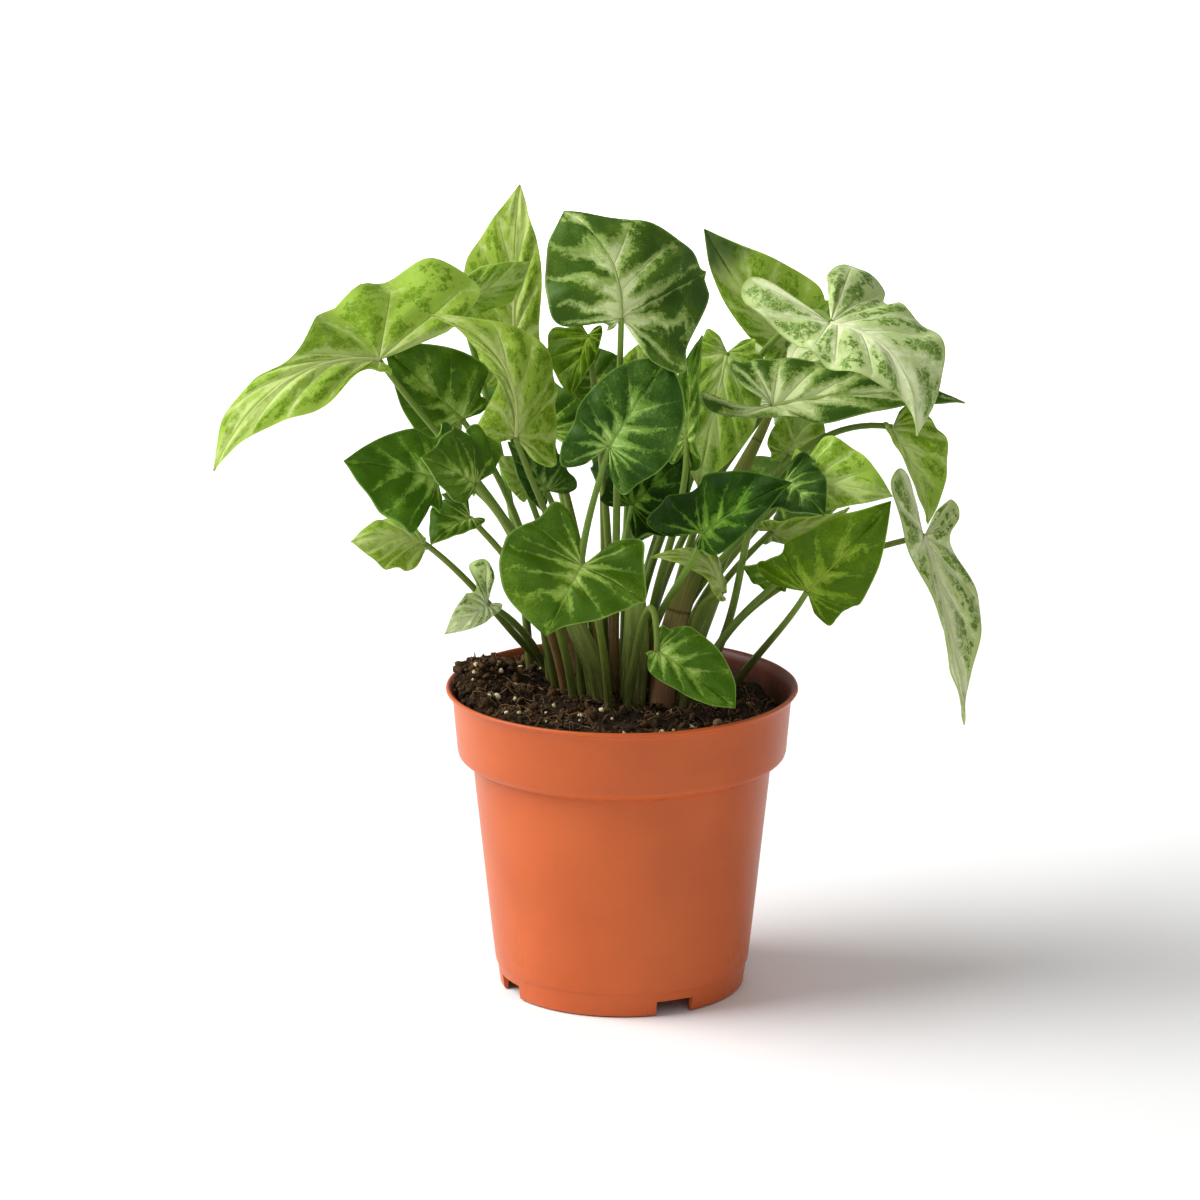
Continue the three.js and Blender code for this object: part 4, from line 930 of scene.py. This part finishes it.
def scatter(pile, count, radii, roughness, flat, slot, form, spread=54.5, sunk=0.35):
    """Crumbs or stones of random sizes between two radii, on the soil's top out to spread. flat is the least
    height of one as a share of its width, and sunk is how deep they lie."""
    directions, faces = form
    for _ in range(count):
        x, y = around(spread * math.sqrt(rng.random()), rng.uniform(0, 2 * math.pi))
        if rng.random() < HEAP_SHARE:
            x, y = around(rng.uniform(HEAP_INNER, spread + 3), rng.uniform(*HEAP_TURNS))
        size = radii[0] + (radii[1] - radii[0]) * rng.random() ** 2.2
        room = INSIDE_LIP if fine_height(x, y) > LIP_HEIGHT else INSIDE_WALL
        size = min(size, room - math.hypot(x - POT_X, y))
        if size < SMALLEST_CRUMB:
            continue
        stretch = np.array([1, rng.uniform(0.7, 1.0), rng.uniform(flat, 1.0)]) * size
        points = turned(lump(directions, roughness) * stretch, [rng.uniform(0, 6.3) for _ in range(3)])
        z = fine_height(x, y) + size * (0.6 - sunk) + rng.random() * size * 0.5
        data = np.zeros((len(points), 9))
        data[:, :3] = points + np.array([x, y, z])
        data[:, 3] = rng.random()
        pile.add(data[:, :3], faces, data, slot)


def rootlets(pile, count):
    """Loose root ends that wander over the soil."""
    for _ in range(count):
        spot = np.array(around(52 * math.sqrt(rng.random()), rng.uniform(0, 2 * math.pi)))
        heading = rng.uniform(0, 2 * math.pi)
        length = rng.uniform(3, 13)
        arc = rng.uniform(0.2, 1.8)
        points = []
        for k in range(ROOTLET_STEPS + 1):
            x, y = spot
            if math.hypot(x - POT_X, y) > ROOTLET_REACH:
                break
            points.append([x, y, fine_height(x, y) + 0.5 + arc * (0.6 + math.sin(k * 0.7 + heading))])
            heading += rng.uniform(-0.7, 0.7)
            spot = spot + np.array([math.cos(heading), math.sin(heading)]) * length / ROOTLET_STEPS
        if len(points) > 3:
            tube(pile, points, np.linspace(0.26, 0.1, len(points)), 4, rng.random(), ROOTLET_SLOT)


def make_soil():
    pile = Pile()
    soil_plug(pile)
    scatter(pile, 850, (0.6, 1.9), 0.85, 0.35, CRUMB_SLOT, ball(2), sunk=0.6)
    scatter(pile, 2200, (0.25, 0.8), 0.8, 0.35, CRUMB_SLOT, ball(1), sunk=0.2)
    scatter(pile, 80, (0.5, 1.3), 0.35, 0.7, PERLITE_SLOT, ball(2), spread=52, sunk=0.1)
    scatter(pile, 14, (0.8, 2.0), 0.4, 0.45, CHIP_SLOT, ball(2), spread=52)
    rootlets(pile, 230)
    return pile.build("potting_soil", [SOIL, CRUMB, PERLITE, CHIP, ROOTLET], weld=1e-4)


ride(make_soil(), "soil", "soil")

# ---- The pot, in mm ----
POT_TURNS = 160
NOTCHES = 4
NOTCH_HALF_TURNS = 4
FIRST_NOTCH = math.radians(25)
NOTCH_HEIGHT = 5
DRAIN_RADIUS = 3.2
DRAIN_RING = 31
DRAIN_HEIGHTS = (5, 7, 9, 12)
LIP_TOP = (59.5, POT_HEIGHT)

# Radius and height round the wall, from the middle of the underside out, up, over the lip and down inside.
POT_PROFILE = [
    (0, 8.5), (20, 8.5), (39.6, 8.5), (40.3, 8.2), (40.5, 7.5), (40.5, NOTCH_HEIGHT), (40.5, 0.5),
    (40.8, 0.1), (41.2, 0), (41.6, 0.1), (41.85, 0.5), (42.5, NOTCH_HEIGHT), (42.8, 8.1), (42.95, 8.3),
    (43.4, 8.5), (43.5, 9.0), (44.1, 14), (45.2, 24), (46.6, 37), (48.0, 50.5), (49.5, 64.5), (50.8, 77.0),
    (50.98, 78.9), (51.9, 79.3), (53.6, 80.2), (55.2, 81.2), (55.8, 81.9), (56.1, 83), (56.9, 92),
    (57.7, 101.4), (58.0, 102.6), (58.7, 103.3), (59.6, 103.7), (60.0, 104.2), (59.9, 104.7), LIP_TOP,
    (58.9, POT_HEIGHT), (58.2, 104.6), (57.4, 103.4), (56.7, 101.8), (55.6, 92), (54.8, 83.4), (54.3, 82.2),
    (52.2, 80.6), (50.2, 79.6), (49.6, 78.5), (48.0, 64), (46.4, 49), (44.6, 32), (42.9, 17), (42.3, 11.4),
    (41.6, 10.2), (40.6, 9.8), (20, 9.8), (0, 9.8),
]


def in_notch(k):
    """Whether the foot ring is cut away between the k-th turn and the next."""
    return (k % POT_TURNS + NOTCH_HALF_TURNS) % (POT_TURNS // NOTCHES) < 2 * NOTCH_HALF_TURNS


def pot_wall():
    """The wall and floor, turned about the pot's axis, with notches in the foot ring. vein holds the turn and
    whether the point is inside the pot."""
    n = POT_TURNS
    lip_row = POT_PROFILE.index(LIP_TOP)
    data = []
    for i, (radius, z) in enumerate(POT_PROFILE):
        for k in range(n):
            turn = FIRST_NOTCH + k * 2 * math.pi / n
            data.append((*around(radius, turn), z, turn * 50, float(i > lip_row), 0, 0, 0, 0))
    low_rows = [i for i, (_, z) in enumerate(POT_PROFILE) if z <= NOTCH_HEIGHT]
    first, last = low_rows[0], low_rows[-1]
    faces = []
    for i in range(len(POT_PROFILE) - 1):
        for k in range(n):
            m = (k + 1) % n
            if not (first <= i < last and in_notch(k)):
                faces.append((i * n + m, (i + 1) * n + m, (i + 1) * n + k, i * n + k))
    for k in range(n):
        m = (k + 1) % n
        if in_notch(k):
            faces.append((last * n + m, last * n + k, first * n + k, first * n + m))
        if in_notch(k) != in_notch(k - 1):
            side = tuple(i * n + k for i in range(first, last + 1))
            faces.append(side if in_notch(k) else side[::-1])
    pile = Pile()
    pile.add([corner[:3] for corner in data], faces, data)
    return pile.build("moulded_pot", [pot_skin("pot_plastic")], sharp=50)


def make_pot():
    """The wall with the drain holes cut through its floor."""
    pot = pot_wall()
    drill = Pile()
    for k in range(NOTCHES):
        x, y = around(DRAIN_RING, FIRST_NOTCH + k * 2 * math.pi / NOTCHES)
        tube(drill, [(x, y, z) for z in DRAIN_HEIGHTS], [DRAIN_RADIUS] * len(DRAIN_HEIGHTS), 32, 0, 0)
    cutter = drill.build("drain_cutter", [])
    cut = pot.modifiers.new("drains", "BOOLEAN")
    cut.object = cutter
    cut.operation = "DIFFERENCE"
    cut.solver = "EXACT"
    bpy.context.view_layer.update()
    shaped = bpy.data.meshes.new_from_object(pot.evaluated_get(bpy.context.evaluated_depsgraph_get()))
    pot.modifiers.clear()
    pot.data = shaped
    bpy.data.objects.remove(cutter)
    return pot


ride(make_pot(), "pot", "pot")

# ---- Floor, camera and light, in metres ----
FLOOR_HALF, FLOOR_LEVEL = 12, -0.0004
TARGET = np.array([0.0, 0.0, 0.13484])
CAMERA_DISTANCE = 2.0
CAMERA_ELEVATION = math.radians(14.99)
CAMERA_LENS = 176.9

sheet = bpy.data.meshes.new("floor")
corners = [(x * FLOOR_HALF, y * FLOOR_HALF, FLOOR_LEVEL) for x, y in ((-1, -1), (1, -1), (1, 1), (-1, 1))]
sheet.from_pydata(corners, [], [(0, 1, 2, 3)])
sheet.materials.append(floor_skin("floor_white"))
floor = bpy.data.objects.new("floor", sheet)
bpy.context.scene.collection.objects.link(floor)

camera = bpy.data.objects.new("camera", bpy.data.cameras.new("camera"))
camera.data.lens = CAMERA_LENS
camera.data.sensor_width = 36
camera.data.clip_start, camera.data.clip_end = 0.05, 100
camera_direction = np.array([0, -math.cos(CAMERA_ELEVATION), math.sin(CAMERA_ELEVATION)])
camera.location = TARGET + CAMERA_DISTANCE * camera_direction
camera.rotation_euler = (math.pi / 2 - CAMERA_ELEVATION, 0, 0)
bpy.context.scene.collection.objects.link(camera)
bpy.context.scene.camera = camera


def area_light(name, place, size, power, aim=(0, 0, 0.12), spread=math.pi):
    light = bpy.data.objects.new(name, bpy.data.lights.new(name, "AREA"))
    light.data.shape = "DISK"
    light.data.size = size
    light.data.energy = power
    light.data.spread = spread
    light.location = place
    away = unit(np.array(place) - np.array(aim))
    light.rotation_euler = (math.acos(away[2]), 0, math.atan2(away[1], away[0]) + math.pi / 2)
    bpy.context.scene.collection.objects.link(light)


area_light("key", (-1.9, -0.15, 1.8), size=2.2, power=88)
area_light("fill", (0.4, -2.4, 1.5), size=1.8, power=6)
area_light("backdrop", (0, 2.4, 1.6), size=2.4, power=60, aim=(0, 2.4, 0), spread=1.6)

world = bpy.data.worlds.new("studio")
world.use_nodes = True
background = world.node_tree.nodes["Background"]
background.inputs["Color"].default_value = (1, 1, 1, 1)
background.inputs["Strength"].default_value = 0.35
bpy.context.scene.world = world
bpy.context.scene.view_settings.view_transform = "Standard"
